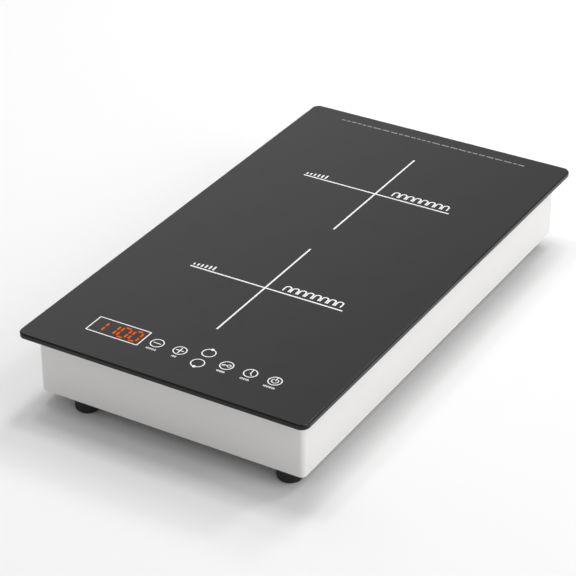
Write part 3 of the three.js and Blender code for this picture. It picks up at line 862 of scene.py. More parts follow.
def housing():
    low, high, _ = extent("housing_shell")
    wall = high.y
    shell = Blank().framed(
        high.x - low.x, high.y - low.y, SHELL_CORNER, shell_profile(low.z, high.z), steps=10, looped=True,
    )
    cutter = Blank()
    for group in EXHAUST["groups"]:
        for shift in row(EXHAUST["columns"], SLOT["pitch"]):
            place = (group + shift, EXHAUST["z"])
            slot = round_rectangle(SLOT["wide"], EXHAUST["long"], SLOT_END, place, 6)
            cutter.add(rear_opening(slot, wall))
    gland = extent("cord_gland")[2]
    cutter.add(rear_opening(circle(GLAND_HOLE, (gland.x, gland.z), 40), wall))
    for x, y in BASE_SCREWS:
        cutter.turned([(1.9, LEDGE["low"] - 1), (1.9, LEDGE["low"] + SHEET + 1)], (x, y, 0), 16)
    shell.carve(cutter)

    def slot_rim(edge):
        """An edge where a slot or the gland hole meets the outer or inner face of the rear wall."""
        a, b = (v.co for v in edge.verts)
        on_face = any(abs(a.y - y) < 0.01 and abs(b.y - y) < 0.01 for y in (wall, wall - SHEET))
        square = abs(edge.calc_face_angle(0) - math.pi / 2) < 0.1
        return on_face and square and min(a.z, b.z) > 25 and max(a.z, b.z) < 60

    shell.ease(slot_rim, SLOT["easing"])
    make("housing", shell, FINISH["coat"], ["housing_shell"])


BASE_SCREWS = [(extent(f"base_screw_{i}")[2].x, extent(f"base_screw_{i}")[2].y) for i in (1, 2, 3, 4)]
FEET = [f"{end}_{side}" for end in ("front", "rear") for side in ("left", "right")]
INTAKE = {"long": 38, "rows": 9, "gap": 6}
BOARD_INSET = 6


def intake_slots(fan):
    """Outlines of the air slots in the base under a fan."""
    middle = extent(f"fan_frame_{fan}")[2]
    shift = (INTAKE["long"] + INTAKE["gap"]) / 2
    return [
        round_rectangle(INTAKE["long"], SLOT["wide"], SLOT_END, (middle.x + side * shift, middle.y + y), 5)
        for side in (-1, 1)
        for y in row(INTAKE["rows"], SLOT["pitch"])
    ]


def base_panel():
    low, high, _ = extent("base_plate")
    top = low.z + SHEET
    holes = intake_slots("front") + intake_slots("rear")
    holes += [circle(1.9, spot, 16) for spot in BASE_SCREWS]
    feet = [extent(f"foot_{name}")[2] for name in FEET]
    holes += [circle(2.3, (foot.x, foot.y), 16) for foot in feet]
    board_low, board_high, board = extent("power_board")
    outline = round_rectangle(high.x - low.x, high.y - low.y, 2.9, steps=6)
    panel = Blank().pressed(outline, low.z, top, holes, edge=0.22)
    standoff = [(3.9, top - 0.2), (3.4, top + 0.5), (3.0, top + 1.2), (3.0, high.z - 0.3), (2.7, high.z)]
    for side in (-1, 1):
        for end in (-1, 1):
            x = board.x + side * ((board_high.x - board_low.x) / 2 - BOARD_INSET)
            y = board.y + end * ((board_high.y - board_low.y) / 2 - BOARD_INSET)
            panel.turned(standoff, (x, y, 0), 24)
    make("base_panel", panel, FINISH["base_coat"], ["base_plate"])


# ---- feet and screws ----

FOOT = {"top": 12.4, "bottom": 11.8, "round": 3.2, "bore": 2.5, "head_bore": 5.6, "head_depth": 6}


def foot_profile(height):
    edge = [
        (FOOT["bottom"] - FOOT["round"] + x, FOOT["round"] + y)
        for x, y in arc((0, 0), FOOT["round"], -90, 90, 6)
    ]
    return [
        (FOOT["head_bore"], 0.5), (FOOT["head_bore"] + 0.5, 0), *edge,
        (FOOT["top"] - 0.15, height - 1.2), (FOOT["top"], height - 0.4), (FOOT["top"] - 0.4, height),
        (FOOT["bore"], height), (FOOT["bore"], FOOT["head_depth"]),
        (FOOT["head_bore"], FOOT["head_depth"]),
    ]


def pan_head_screw(shaft, head, head_high, length, pitch):
    """A screw with a domed head at z = 0 and its thread up, with a cross recess in the head."""
    dome = [(head * math.sin(a), head_high * 0.8 * (1 - math.cos(a))) for a in (0.35, 0.7, 1.05, 1.35)]
    profile = [*dome, (head, head_high * 0.85), (head - 0.15, head_high), (shaft * 0.86, head_high)]
    root = shaft * 0.84
    turns = int((length - 1.2) / pitch)
    for i in range(turns):
        z = head_high + 0.4 + i * pitch
        profile += [(root, z), (shaft, z + pitch * 0.45), (shaft, z + pitch * 0.55), (root, z + pitch)]
    profile += [(root, head_high + length - 0.6), (shaft * 0.4, head_high + length)]
    body = Blank().turned(profile, steps=24)
    reach, half = head * 0.56, head * 0.11
    for angle in (45, 135):
        arm = Blank().block((-reach, -half, -1), (reach, half, head_high * 0.6), 0.05)
        body.carve(arm.move(turn(angle)))
    return body


def feet_and_screws():
    sample = extent("foot_front_left")
    height = sample[1].z - sample[0].z
    for name in FEET:
        foot = extent(f"foot_{name}")[2]
        rubber = Blank().turned(foot_profile(height), (foot.x, foot.y, 0), 56, looped=True)
        make(f"rubber_foot_{name}", rubber, FINISH["rubber"], [f"foot_{name}"])
        low, high, middle = extent(f"foot_screw_{name}")
        screw = pan_head_screw(2, 4.4, 2.6, high.z - low.z - 2.6, 0.9)
        screw.move(Matrix.Translation((middle.x, middle.y, low.z)))
        make(f"screw_foot_{name}", screw, FINISH["zinc"], [f"foot_screw_{name}"])
    for i, (x, y) in enumerate(BASE_SCREWS, 1):
        low, high, _ = extent(f"base_screw_{i}")
        screw = pan_head_screw(1.6, 3.4, 1.8, high.z - low.z - 1.8, 0.8)
        screw.move(Matrix.Translation((x, y, low.z)))
        make(f"screw_base_{i}", screw, FINISH["zinc"], [f"base_screw_{i}"])


# ---- cord gland ----


def cord_bush():
    """The flanged bush in the rear wall: bore, flange with grip scallops, neck and snap collar."""
    low, high, middle = extent("cord_gland")
    bore, neck, flange, flange_thick = 4.3, 7.6, 12, 3
    depth = high.y - low.y
    profile = [
        (bore, 0.5), (bore + 0.5, 0), (neck - 1, 0), (neck, 1), (neck, depth - flange_thick - 1.4),
        (neck - 0.6, depth - flange_thick - 1.2), (neck - 0.6, depth - flange_thick),
        (flange - 0.3, depth - flange_thick), (flange, depth - flange_thick + 0.3), (flange, depth - 0.9),
        (flange - 0.9, depth), (bore + 2.2, depth), (bore + 1.4, depth - 0.7), (bore, depth - 1.2),
    ]
    bush = Blank().turned(profile, steps=64, looped=True)
    count, radius = 16, 1.1
    groove = [(radius, depth - flange_thick - 1), (radius, depth + 1)]
    scallop = Blank().turned(groove, (flange + radius / 2, 0, 0), 16)
    bush.carve(Blank().add(scallop, [turn(i * 360 / count) for i in range(count)]))
    bush.move(turn(-90, "X", (middle.x, low.y, middle.z)))
    make("cord_bush", bush, FINISH["black_plastic"], ["cord_gland"])


# ---- induction coils ----

WIRE = 1.36
WIRE_PITCH = 2.86
WIRE_STEPS = 64
FERRITE = {"long": 50, "wide": 14, "count": 4, "middle": 48}
COIL_ENDS = ("front", "rear")


def coil_winding(end):
    """One flat spiral of stranded wire, from the hub out to the rim."""
    low, high, middle = extent(f"coil_winding_{end}")
    inner, outer = 22 + WIRE, (high.x - low.x) / 2 - WIRE
    turns = (outer - inner) / WIRE_PITCH
    steps = int(turns * WIRE_STEPS)
    path = []
    for i in range(steps + 1):
        angle = math.tau * i / WIRE_STEPS
        radius = inner + WIRE_PITCH * i / WIRE_STEPS
        path.append((middle.x + radius * math.cos(angle), middle.y + radius * math.sin(angle), middle.z))
    spiral = Blank().rod(path, WIRE, sides=8)
    node = f"coil_winding_{end}"
    make(f"litz_spiral_{end}", spiral, FINISH["copper"], [node], even=False)


def window(inner, outer, start, sweep, steps=12):
    """A window between two radii and two angles."""
    return arc((0, 0), outer, start, sweep, steps) + arc((0, 0), inner, start + sweep, -sweep, steps)


def coil_bobbin(end):
    """Winding carrier: windowed disc, rim, hub ring and clips that hold the ferrite bars below it."""
    low, high, middle = extent(f"coil_bobbin_{end}")
    radius = (high.x - low.x) / 2
    top = low.z + 2
    windows = [circle(9.2)]
    for quarter in range(4):
        windows.append(window(27, 47, quarter * 90 - 24, 48))
        windows.append(window(51, radius - 9, quarter * 90 - 30, 28))
        windows.append(window(51, radius - 9, quarter * 90 + 2, 28))
    disc = Blank().pressed(circle(radius, steps=96), low.z, top, windows, edge=0.25)
    for inside, outside in ((radius - 3, radius), (19, 21)):
        profile = [(inside, top - 0.3), (outside - 0.1, top - 0.3), (outside - 0.1, high.z - 0.5)]
        profile += [(outside - 0.5, high.z), (inside + 0.4, high.z), (inside, high.z - 0.4)]
        disc.turned(profile, steps=96, looped=True)
    clip = Blank().block((-3, 7.3, low.z - 3.6), (3, 8.7, low.z + 0.3), 0.3)
    clip.block((-3, 6.5, low.z - 4.9), (3, 8.7, low.z - 4.6 + 1.0), 0.3)
    for i in range(FERRITE["count"]):
        for along in (34, 62):
            for side in (0, 180):
                place = turn(45 + i * 90) @ Matrix.Translation((along, 0, 0)) @ turn(side)
                disc.add(clip, [place])
    disc.move(Matrix.Translation((middle.x, middle.y, 0)))
    make(f"bobbin_{end}", disc, FINISH["natural_plastic"], [f"coil_bobbin_{end}"])


def ferrite_bars(end):
    zone = extent(f"coil_winding_{end}")[2]
    low, high, _ = extent(f"ferrite_bar_{end}_1")
    for i in range(FERRITE["count"]):
        half, side = FERRITE["long"] / 2, FERRITE["wide"] / 2
        bar = Blank().block((-half, -side, low.z), (half, side, high.z), 0.5, 1.1)
        bar.move(turn(45 + 90 * i, at=(zone.x, zone.y, 0)) @ Matrix.Translation((FERRITE["middle"], 0, 0)))
        make(f"ferrite_{end}_{i + 1}", bar, FINISH["ferrite"], [f"ferrite_bar_{end}_{i + 1}"])


def coil_bracket(end):
    """Pressed aluminium carrier: a disc with two arms whose ends are folded down."""
    low, high, _ = extent(f"coil_bracket_{end}")
    zone = extent(f"coil_winding_{end}")[2]
    radius, half, thick, bend = (high.y - low.y) / 2, 17, 1.5, 3
    lean = math.degrees(math.asin(half / radius))
    ends = [low.x + bend - zone.x, high.x - bend - zone.x]
    outline = [(ends[1], -half), (ends[1], half), *arc((0, 0), radius, lean, 180 - 2 * lean, 30)]
    outline += [(ends[0], half), (ends[0], -half), *arc((0, 0), radius, 180 + lean, 180 - 2 * lean, 30)]
    holes = [circle(10, steps=32)]
    for quarter in range(4):
        holes.append(window(26, radius - 12, quarter * 90 + 62, 12, 6))
        holes.append(window(26, radius - 12, quarter * 90 + 16, 12, 6))
    plate = Blank().pressed(outline, high.z - thick, high.z, holes, edge=0.15)
    for side, x in ((-1, ends[0]), (1, ends[1])):
        outer = arc((0, high.z - bend), bend, 90, -90, 6)
        inner = arc((0, high.z - bend), bend - thick, 0, 90, 6)
        fold = outer + [(bend, low.z), (bend - thick, low.z)] + inner
        fold = [(side * fx, fz) for fx, fz in fold]
        tab = Blank().pressed(fold[::side], -half, half, edge=0.15)
        plate.add(tab, [Matrix.Translation((x, 0, 0)) @ turn(90, "X")])
    plate.move(Matrix.Translation((zone.x, zone.y, 0)))
    make(f"bracket_{end}", plate, FINISH["sheet_aluminium"], [f"coil_bracket_{end}"])


def mica_sheet(end):
    low, high, middle = extent(f"mica_sheet_{end}")
    outline = circle((high.x - low.x) / 2, steps=96)
    sheet = Blank().pressed(outline, low.z, high.z, [circle(9, steps=32)], edge=0.06)
    sheet.move(Matrix.Translation((middle.x, middle.y, 0)))
    make(f"mica_disc_{end}", sheet, FINISH["mica"], [f"mica_sheet_{end}"])


def pan_sensor(end):
    """Temperature sensor: a silicone cup that presses on the glass, with its two leads."""
    low, high, middle = extent(f"coil_sensor_{end}")
    radius = (high.x - low.x) / 2
    seat = low.z + 5
    profile = [
        (2.2, low.z), (2.5, low.z + 0.3), (2.5, seat), (radius - 0.4, seat), (radius, seat + 0.4),
        (radius, seat + 2.4), (radius - 1.1, seat + 3.2), (radius - 1.1, high.z - 2.6),
        (radius, high.z - 1.8), (radius, high.z - 0.7), (radius - 0.7, high.z),
        (2.2, high.z), (1.8, high.z - 0.2),
    ]
    cup = Blank().turned(profile, (middle.x, middle.y, 0), 40)
    make(f"sensor_cup_{end}", cup, FINISH["silicone"], [f"coil_sensor_{end}"])
    leads = Blank()
    for side in (-1, 1):
        x = middle.x + side * 1.1
        path = [(x, middle.y, low.z + 0.5), (x, middle.y, low.z - 3), (x + side, middle.y, low.z - 5)]
        leads.rod(path, 0.45, 10)
    make(f"sensor_leads_{end}", leads, FINISH["nylon"])


# ---- cooling fans ----

FAN = {"side": 92, "corner": 5, "bore": 43, "hub": 17, "flange": 3.2, "screw": 40.5, "strut": 5}
BLADES = 9
BLADE_STATIONS = 7
BLADE_SECTION = ((-1, 0), (-0.6, 0.8), (0, 1), (0.6, 0.8), (1, 0), (0.6, -0.5), (0, -0.6), (-0.6, -0.5))


def fan_frame(fan):
    """Two square flanges, a round duct between them, corner bosses, and the hub on its struts."""
    low, high, middle = extent(f"fan_frame_{fan}")
    tall = high.z - low.z
    square = round_rectangle(FAN["side"], FAN["side"], FAN["corner"])
    screws = [(sx * FAN["screw"], sy * FAN["screw"]) for sx in (-1, 1) for sy in (-1, 1)]
    screw_holes = [circle(2.15, spot, 20) for spot in screws]
    windows = []
    for quarter in range(4):
        inner_gap = math.degrees(FAN["strut"] / 2 / FAN["hub"])
        outer_gap = math.degrees(FAN["strut"] / 2 / FAN["bore"])
        start = 45 + quarter * 90
        windows.append(
            arc((0, 0), FAN["bore"], start + outer_gap, 90 - 2 * outer_gap, 18)
            + arc((0, 0), FAN["hub"], start + 90 - inner_gap, 2 * inner_gap - 90, 10)
        )
    lower_holes = windows + screw_holes + [circle(1.8, steps=20)]
    frame_body = Blank().pressed(square, 0, FAN["flange"], lower_holes, edge=0.3)
    bore = circle(FAN["bore"], steps=72)
    frame_body.pressed(square, tall - FAN["flange"], tall, [bore] + screw_holes, edge=0.3)
    inside, outside = FAN["bore"], FAN["bore"] + 1.6
    duct = [(inside, 0.4), (outside, 0.4), (outside, tall - 0.4), (inside, tall - 0.4)]
    frame_body.turned(duct, steps=72, looped=True)
    for x, y in screws:
        boss = [(2.15, 0.5), (3.7, 0.5), (3.7, tall - 0.5), (2.15, tall - 0.5)]
        frame_body.turned(boss, (x, y, 0), 20, looped=True)
    frame_body.turned([(2.0, 2.6), (3.4, 2.6), (3.4, 3.3), (3.0, 3.6), (2.0, 3.6)], steps=24, looped=True)
    frame_body.move(Matrix.Translation((middle.x, middle.y, low.z)))
    make(f"fan_housing_{fan}", frame_body, FINISH["fan_plastic"], [f"fan_frame_{fan}"])


def blade_section(share, low, high):
    """One section of a fan blade at a share of the way from hub to tip, as points in space."""
    radius = 15.2 + share * 26.0
    pitch = math.radians(52 - 20 * share)
    rise = (high - low) / 2 - 0.6
    chord = rise / math.sin(pitch)
    lead = math.radians(16 * share * share)
    thick = 0.95 - 0.4 * share
    points = []
    for along, side in BLADE_SECTION:
        camber = 1.6 * (1 - along * along)
        flat = along * chord * math.cos(pitch) - (side * thick + camber) * math.sin(pitch)
        z = (low + high) / 2 + along * rise + (side * thick + camber) * math.cos(pitch) * 0.35
        angle = lead + flat / radius
        points.append((radius * math.cos(angle), radius * math.sin(angle), z))
    return points


def fan_rotor(fan):
    """Hub cup with its shaft and swept blades. It turns with its own body."""
    low = extent(f"fan_rotor_{fan}")[0]
    shaft_low, cup_low = 0.0, 3.4
    top = cup_low + 13
    cup = Blank().turned([
        (1.1, shaft_low), (1.5, shaft_low + 0.4), (1.5, cup_low), (15.4, cup_low), (16, cup_low + 0.6),
        (16, top - 1.6), (15.7, top - 0.6), (14.8, top - 0.1), (13.8, top), (9.6, top), (9.3, top - 0.35),
        (0.6, top - 0.35),
    ], steps=56)
    blade = Blank().skin([
        blade_section(i / (BLADE_STATIONS - 1), cup_low + 0.2, top - 0.2) for i in range(BLADE_STATIONS)
    ])
    cup.add(blade, [turn(i * 360 / BLADES) for i in range(BLADES)])
    hub = extent(f"fan_frame_{fan}")[2]
    cup.move(Matrix.Translation((hub.x, hub.y, low.z)))
    node, body = f"fan_rotor_{fan}", f"{fan}_rotor"
    make(f"fan_wheel_{fan}", cup, FINISH["fan_plastic"], [node], body=body)


# ---- power electronics ----

ALONG_X = Matrix(((0, 0, 1), (1, 0, 0), (0, 1, 0))).to_4x4()
HEATSINK = {"base": 4, "fin": 1.6, "fins": 12, "leg": 5.4, "leg_wide": 4}


def power_laminate():
    low, high, middle = extent("power_board")
    wide, deep = high.x - low.x, high.y - low.y
    reach_x, reach_y = wide / 2 - BOARD_INSET, deep / 2 - BOARD_INSET
    holes = [circle(1.6, (sx * reach_x, sy * reach_y), 20) for sx in (-1, 1) for sy in (-1, 1)]
    board = Blank().pressed(round_rectangle(wide, deep, 2), low.z, high.z, holes, edge=0.1)
    board.move(Matrix.Translation((middle.x, middle.y, 0)))
    make("power_laminate", board, FINISH["board"], ["power_board"])


def heatsink():
    """Drawn aluminium comb on two legs."""
    low, high, middle = extent("heatsink")
    half, tall = (high.y - low.y) / 2, high.z - low.z
    leg, wide, fin = HEATSINK["leg"], HEATSINK["leg_wide"], HEATSINK["fin"]
    floor_z = leg + HEATSINK["base"]
    outline = [(-half, 0), (wide - half, 0), (wide - half, leg)]
    outline += [(half - wide, leg), (half - wide, 0), (half, 0)]
    pitch = (2 * half - fin) / (HEATSINK["fins"] - 1)
    for i in range(HEATSINK["fins"] - 1, -1, -1):
        left = i * pitch - half
        if i < HEATSINK["fins"] - 1:
            outline += [(left + fin + 0.5, floor_z), (left + fin, floor_z + 0.5)]
        outline += [(left + fin, tall - 0.6), (left + fin - 0.4, tall)]
        outline += [(left + 0.4, tall), (left, tall - 0.6)]
        if i:
            outline += [(left, floor_z + 0.5), (left - 0.5, floor_z)]
    comb = Blank().pressed(outline, low.x - middle.x, high.x - middle.x, edge=0.12)
    comb.move(Matrix.Translation((middle.x, middle.y, low.z)) @ ALONG_X)
    make("heatsink_comb", comb, FINISH["drawn_aluminium"], ["heatsink"])


def flat_leads(count, pitch, reach, drop, start_x):
    """Flat leads that leave a package to the left and bend down to the board."""
    leads = Blank()
    for y in row(count, pitch):
        for a, b in (((start_x - reach, y - 0.6, -0.3), (start_x + 0.6, y + 0.6, 0.3)),
                     ((start_x - reach - 0.3, y - 0.45, -drop), (start_x - reach + 0.3, y + 0.45, 0.3))):
            leads.block(a, b, 0.08)
    return leads


def power_package(node, leads_count, pitch):
    """A flat power package with a screw hole and its row of leads."""
    low, high, middle = extent(node)
    wide, deep = (high.x - low.x) / 2, (high.y - low.y) / 2
    step = high.z - 1.4
    profile = [(0.35, low.z), (0.1, low.z + 0.1), (0, low.z + 0.35)]
    profile += [(0, step - 0.35), (0.1, step - 0.1), (0.3, step)]
    profile += [(0.3, high.z - 0.3), (0.4, high.z - 0.1), (0.6, high.z)]
    case = Blank().framed(2 * wide, 2 * deep, 0.8, profile, steps=3)
    case.carve(Blank().turned([(1.8, low.z - 1), (1.8, high.z + 1)], (wide * 0.55, 0, 0), 24))
    case.carve(Blank().turned([(1.0, low.z - 1), (0.8, low.z + 0.3)], (-wide * 0.6, deep * 0.55, 0), 16))
    case.move(Matrix.Translation((middle.x, middle.y, 0)))
    make(f"{node}_case", case, FINISH["black_plastic"], [node])
    leads = flat_leads(leads_count, pitch, 3.4, middle.z - low.z + 1.4, -wide)
    leads.move(Matrix.Translation((middle.x, middle.y, middle.z)))
    make(f"{node}_leads", leads, FINISH["tin"])


def thermal_pads():
    """Soft pads between the power packages and the heatsink."""
    pads = Blank()
    under = extent("heatsink")[0].z + HEATSINK["leg"] - 0.03
    for node in ("power_transistor_front", "power_transistor_rear", "bridge_rectifier"):
        low, high, _ = extent(node)
        pads.block((low.x - 1, low.y - 1, high.z + 0.03), (high.x + 1, high.y + 1, under), 0.12, 0.6)
    make("thermal_pads", pads, FINISH["silicone"])


def box_capacitor(node):
    """Film capacitor in a potted box, standing on four small feet."""
    low, high, _ = extent(node)
    case = Blank().block((low.x, low.y, low.z + 0.6), (high.x, high.y, high.z), 0.9, 1.3)
    for x in (low.x + 2, high.x - 2):
        for y in (low.y + 2, high.y - 2):
            case.block((x - 1.2, y - 1.2, low.z), (x + 1.2, y + 1.2, low.z + 1.2), 0.2)
    make(f"{node}_case", case, FINISH["capacitor"], [node])


def filter_choke():
    """A ring core with one layer of heavy wire wound through it."""
    low, high, middle = extent("filter_choke")
    wire = 0.85
    inner, outer, tall = 8 + 2 * wire, (high.x - low.x) / 2 - 2 * wire, high.z - low.z - 4 * wire
    rise, edge = 2 * wire, 1.2
    profile = [(inner, rise + edge), (inner + edge, rise), (outer - edge, rise), (outer, rise + edge)]
    profile += [(outer, rise + tall - edge), (outer - edge, rise + tall), (inner + edge, rise + tall)]
    profile += [(inner, rise + tall - edge)]
    core = Blank().turned(profile, (middle.x, middle.y, low.z), 64, looped=True)
    make("choke_core", core, FINISH["core"])
    turns, steps = 22, 20
    reach_r, reach_z = (outer - inner) / 2 + wire, tall / 2 + wire
    path = []
    for i in range(turns * steps + 1):
        about = math.radians(-160 + 320 * i / (turns * steps))
        round_core = math.tau * i / steps
        squared = 1 / (abs(math.cos(round_core)) ** 4 + abs(math.sin(round_core)) ** 4) ** 0.25
        radius = (inner + outer) / 2 + reach_r * squared * math.cos(round_core)
        z = low.z + (high.z - low.z) / 2 + reach_z * squared * math.sin(round_core)
        path.append((middle.x + radius * math.cos(about), middle.y + radius * math.sin(about), z))
    winding = Blank().rod(path, wire, 8)
    make("choke_wire", winding, FINISH["copper"], ["filter_choke"], even=False)


CANS = ((82, 88, 5, 16), (94, 88, 4, 12), (104, 88, 4, 12), (114, 34, 3, 11))
CHIPS = ((86, 124, 10, 6), (104, 122, 8, 5), (86, 138, 12, 8), (18, -30, 8, 5), (80, -30, 10, 6))
SOCKETS = ((112, 122, 6, 14), (112, 144, 6, 16), (8, 130, 6, 14), (8, -20, 6, 14), (100, -34, 20, 7))
PIN_PITCH = 1.27
BOARD_FACE = extent("power_board")[1].z
BOARD_TOP = BOARD_FACE + 0.05


def upright_box(blank, spot, low, high, edge, corner=None):
    """A block from its x, y, width and depth, and two heights."""
    x, y, wide, deep = spot
    return blank.block((x - wide / 2, y - deep / 2, low), (x + wide / 2, y + deep / 2, high), edge, corner)


def can_capacitors():
    """Sleeved cans with rolled tops, from x, y, radius and height."""
    cans = Blank()
    for x, y, radius, tall in CANS:
        cans.turned([
            (radius - 0.5, 0.2), (radius, 0.5), (radius, 1.4), (radius - 0.35, 1.8), (radius, 2.2),
            (radius, tall - 0.5), (radius - 0.4, tall), (radius - 0.9, tall),
            (radius - 1.1, tall - 0.3), (0.5, tall - 0.3),
        ], (x, y, BOARD_FACE), 32)
    make("can_capacitors", cans, FINISH["sleeve"])


def relay_and_chips():
    dark = Blank()
    dark.block((80, 98, BOARD_TOP), (99, 113, BOARD_TOP + 15), 0.5, 0.9)
    dark.block((104, 99, BOARD_TOP), (116, 112, BOARD_TOP + 9), 0.4, 0.8)
    for spot in CHIPS:
        upright_box(dark, spot, BOARD_TOP + 0.4, BOARD_TOP + 1.9, 0.15, 0.3)
    make("relay_and_chips", dark, FINISH["black_plastic"])


def chip_pins():
    pins = Blank()
    for x, y, wide, deep in CHIPS:
        for shift in row(int(wide / PIN_PITCH), PIN_PITCH):
            for side in (-1, 1):
                edge = y + side * (deep / 2 + 0.5)
                low = (x + shift - 0.2, edge - 0.7, BOARD_TOP)
                pins.block(low, (x + shift + 0.2, edge + 0.7, BOARD_TOP + 0.25), 0.04)
    make("chip_pins", pins, FINISH["tin"])


def wire_sockets():
    sockets = Blank()
    for x, y, wide, deep in SOCKETS:
        shell = upright_box(Blank(), (x, y, wide, deep), BOARD_TOP, BOARD_TOP + 8, 0.4, 0.7)
        well = upright_box(Blank(), (x, y, wide - 2, deep - 2), BOARD_TOP + 2, BOARD_TOP + 10, 0.2)
        sockets.add(shell.carve(well))
    make("wire_sockets", sockets, FINISH["nylon"])


def resistors():
    half = [(0.3, -4.5), (0.3, -3), (1.1, -2.9), (1.25, -2.2), (1.0, -1.6)]
    body = Blank().turned(half + [(radius, -along) for radius, along in half[::-1]], steps=16)
    places = [turn(90, "Y", (104, 130 + i * 4.2, BOARD_TOP + 1.5)) for i in range(6)]
    make("resistors", Blank().add(body, places), FINISH["natural_plastic"])


# ---- mains terminals ----


def terminal_block():
    """Moulded block with three ways, each with a clamp screw over its wire hole."""
    low, high, middle = extent("terminal_block")
    ways = [middle.x + shift for shift in row(3, (high.x - low.x) / 3)]
    body = Blank().block((low.x, low.y, low.z), (high.x, high.y, high.z), 0.6, 1.6)
    cutter = Blank()
    for x in ways:
        hole = Blank().turned([(3.1, low.y - 1), (3.1, high.y + 1)], steps=24)
        cutter.add(hole, [turn(-90, "X", (x, 0, low.z + 8))])
        cutter.turned([(3.6, high.z - 6), (3.6, high.z + 1)], (x, middle.y, 0), 24)
    for x in ((ways[0] + ways[1]) / 2, (ways[1] + ways[2]) / 2):
        for y in (low.y, high.y):
            cutter.block((x - 0.9, y - 3.5, low.z - 1), (x + 0.9, y + 3.5, high.z + 1), 0.1)
    body.carve(cutter)
    make("terminal_moulding", body, FINISH["nylon"], ["terminal_block"])
    screws = Blank()
    for x in ways:
        head = Blank().turned([(3.3, -6), (3.3, -2.4), (3.0, -2), (0.4, -2)], steps=24)
        head.carve(Blank().block((-4, -0.5, -3), (4, 0.5, 1), 0.05))
        screws.add(head, [(x, middle.y, high.z)])
    make("terminal_screws", screws, FINISH["zinc"])


# ---- control panel under the glass ----

CONTROL_CHIPS = ((4, -203, 9, 9), (30, -226, 8, 5), (76, -200, 7, 5), (-18, -225, 8, 5))
KEY_NODES = ("minus", "plus", "zone_rear", "zone_front", "lock", "timer", "power")


def control_bracket():
    """Moulded tray on three posts, with a raised rim and stiffening ribs."""
    low, high, middle = extent("control_bracket")
    wide, deep = high.x - low.x, high.y - low.y
    plate_low = high.z - 2.4
    windows = [round_rectangle(26, 18, 2, (x, middle.y)) for x in (-58, -26, 30, 62)]
    outline = round_rectangle(wide, deep, 3, (middle.x, middle.y))
    tray = Blank().pressed(outline, plate_low, high.z, windows, edge=0.3)
    for x in (low.x + 2, high.x - 2):
        tray.block((x - 0.8, low.y + 3, plate_low - 3.6), (x + 0.8, high.y - 3, plate_low + 0.4), 0.25)
    for y in (low.y + 2, high.y - 2):
        tray.block((low.x + 3, y - 0.8, plate_low - 3.6), (high.x - 3, y + 0.8, plate_low + 0.4), 0.25)
    for x, y in ((-104, -194), (102, -194), (4, -230)):
        profile = [(3.6, low.z), (4, low.z + 0.4), (3.4, plate_low - 4), (4.2, plate_low + 0.4)]
        tray.turned(profile, (x, y, 0), 32)
    make("control_tray", tray, FINISH["black_plastic"], ["control_bracket"])


def control_laminate():
    low, high, middle = extent("control_board")
    outline = round_rectangle(high.x - low.x, high.y - low.y, 2, (middle.x, middle.y))
    board = Blank().pressed(outline, low.z, high.z, edge=0.1)
    make("control_laminate", board, FINISH["board"], ["control_board"])
    lands = Blank()
    for name in KEY_NODES:
        key = extent(f"touch_pad_{name}")[2]
        profile = [(4.4, high.z - 0.02), (6.6, high.z - 0.02), (6.6, high.z + 0.05), (4.4, high.z + 0.05)]
        lands.turned(profile, (key.x, key.y, 0), 40, looped=True)
    make("key_lands", lands, FINISH["tin"])
    chips = Blank()
    for spot in CONTROL_CHIPS:
        upright_box(chips, spot, high.z + 0.03, high.z + 1.3, 0.15, 0.3)
    sounder = [(5.4, 0), (6, 0.5), (6, 7.5), (5.5, 8), (1.6, 8), (1.4, 7.2), (0.5, 7.2)]
    chips.turned(sounder, (78, -224, high.z + 0.03), 36)
    make("control_chips", chips, FINISH["black_plastic"])


def touch_pads():
    """Conductive silicone pads that join the control board to the underside of the glass."""
    for name in KEY_NODES:
        low, high, middle = extent(f"touch_pad_{name}")
        radius, tall = (high.x - low.x) / 2, high.z - low.z
        side = radius - 0.3
        profile = [(radius - 0.8, 0), (side, 0.4), (side, 1.2)]
        for i in range(1, 8):
            profile.append((side - 0.9 * math.sin(math.pi * i / 8), 1.2 + (tall - 2.2) * i / 8))
        profile += [(radius - 0.2, tall - 1.0), (radius, tall - 0.7), (radius, tall - 0.2), (side, tall)]
        profile += [(2.0, tall), (1.6, tall - 0.3), (0.4, tall - 0.3)]
        pad = Blank().turned(profile, (middle.x, middle.y, low.z), 36)
        make(f"key_pad_{name}", pad, FINISH["silicone"], [f"touch_pad_{name}"])


def display_module():
    """The lit display: a moulded body and, on its face, the seven bars of each figure."""
    low, high, _ = extent("display_module")
    body = Blank().block(low, (high.x, high.y, high.z - 0.1), 0.5, 0.9)
    make("display_body", body, FINISH["lens"], ["display_module"])
    bars = Blank()
    for _, right in DIGIT_RIGHT_SIDES:
        left = right - DIGIT["wide"]
        for x in (left, right):
            for y in (DIGIT["upper"], DIGIT["lower"]):
                bars.film(segment((x, y), DIGIT["bar"], DIGIT_LINE, True), high.z - 0.12, high.z)
        for y in (DIGIT["top"], (DIGIT["top"] + DIGIT["bottom"]) / 2, DIGIT["bottom"]):
            middle = ((left + right) / 2, y)
            bars.film(segment(middle, DIGIT["bar"], DIGIT_LINE, False), high.z - 0.12, high.z)
    make("display_bars", bars, FINISH["diffuser"], even=False)


# ---- stage: floor, light and camera ----

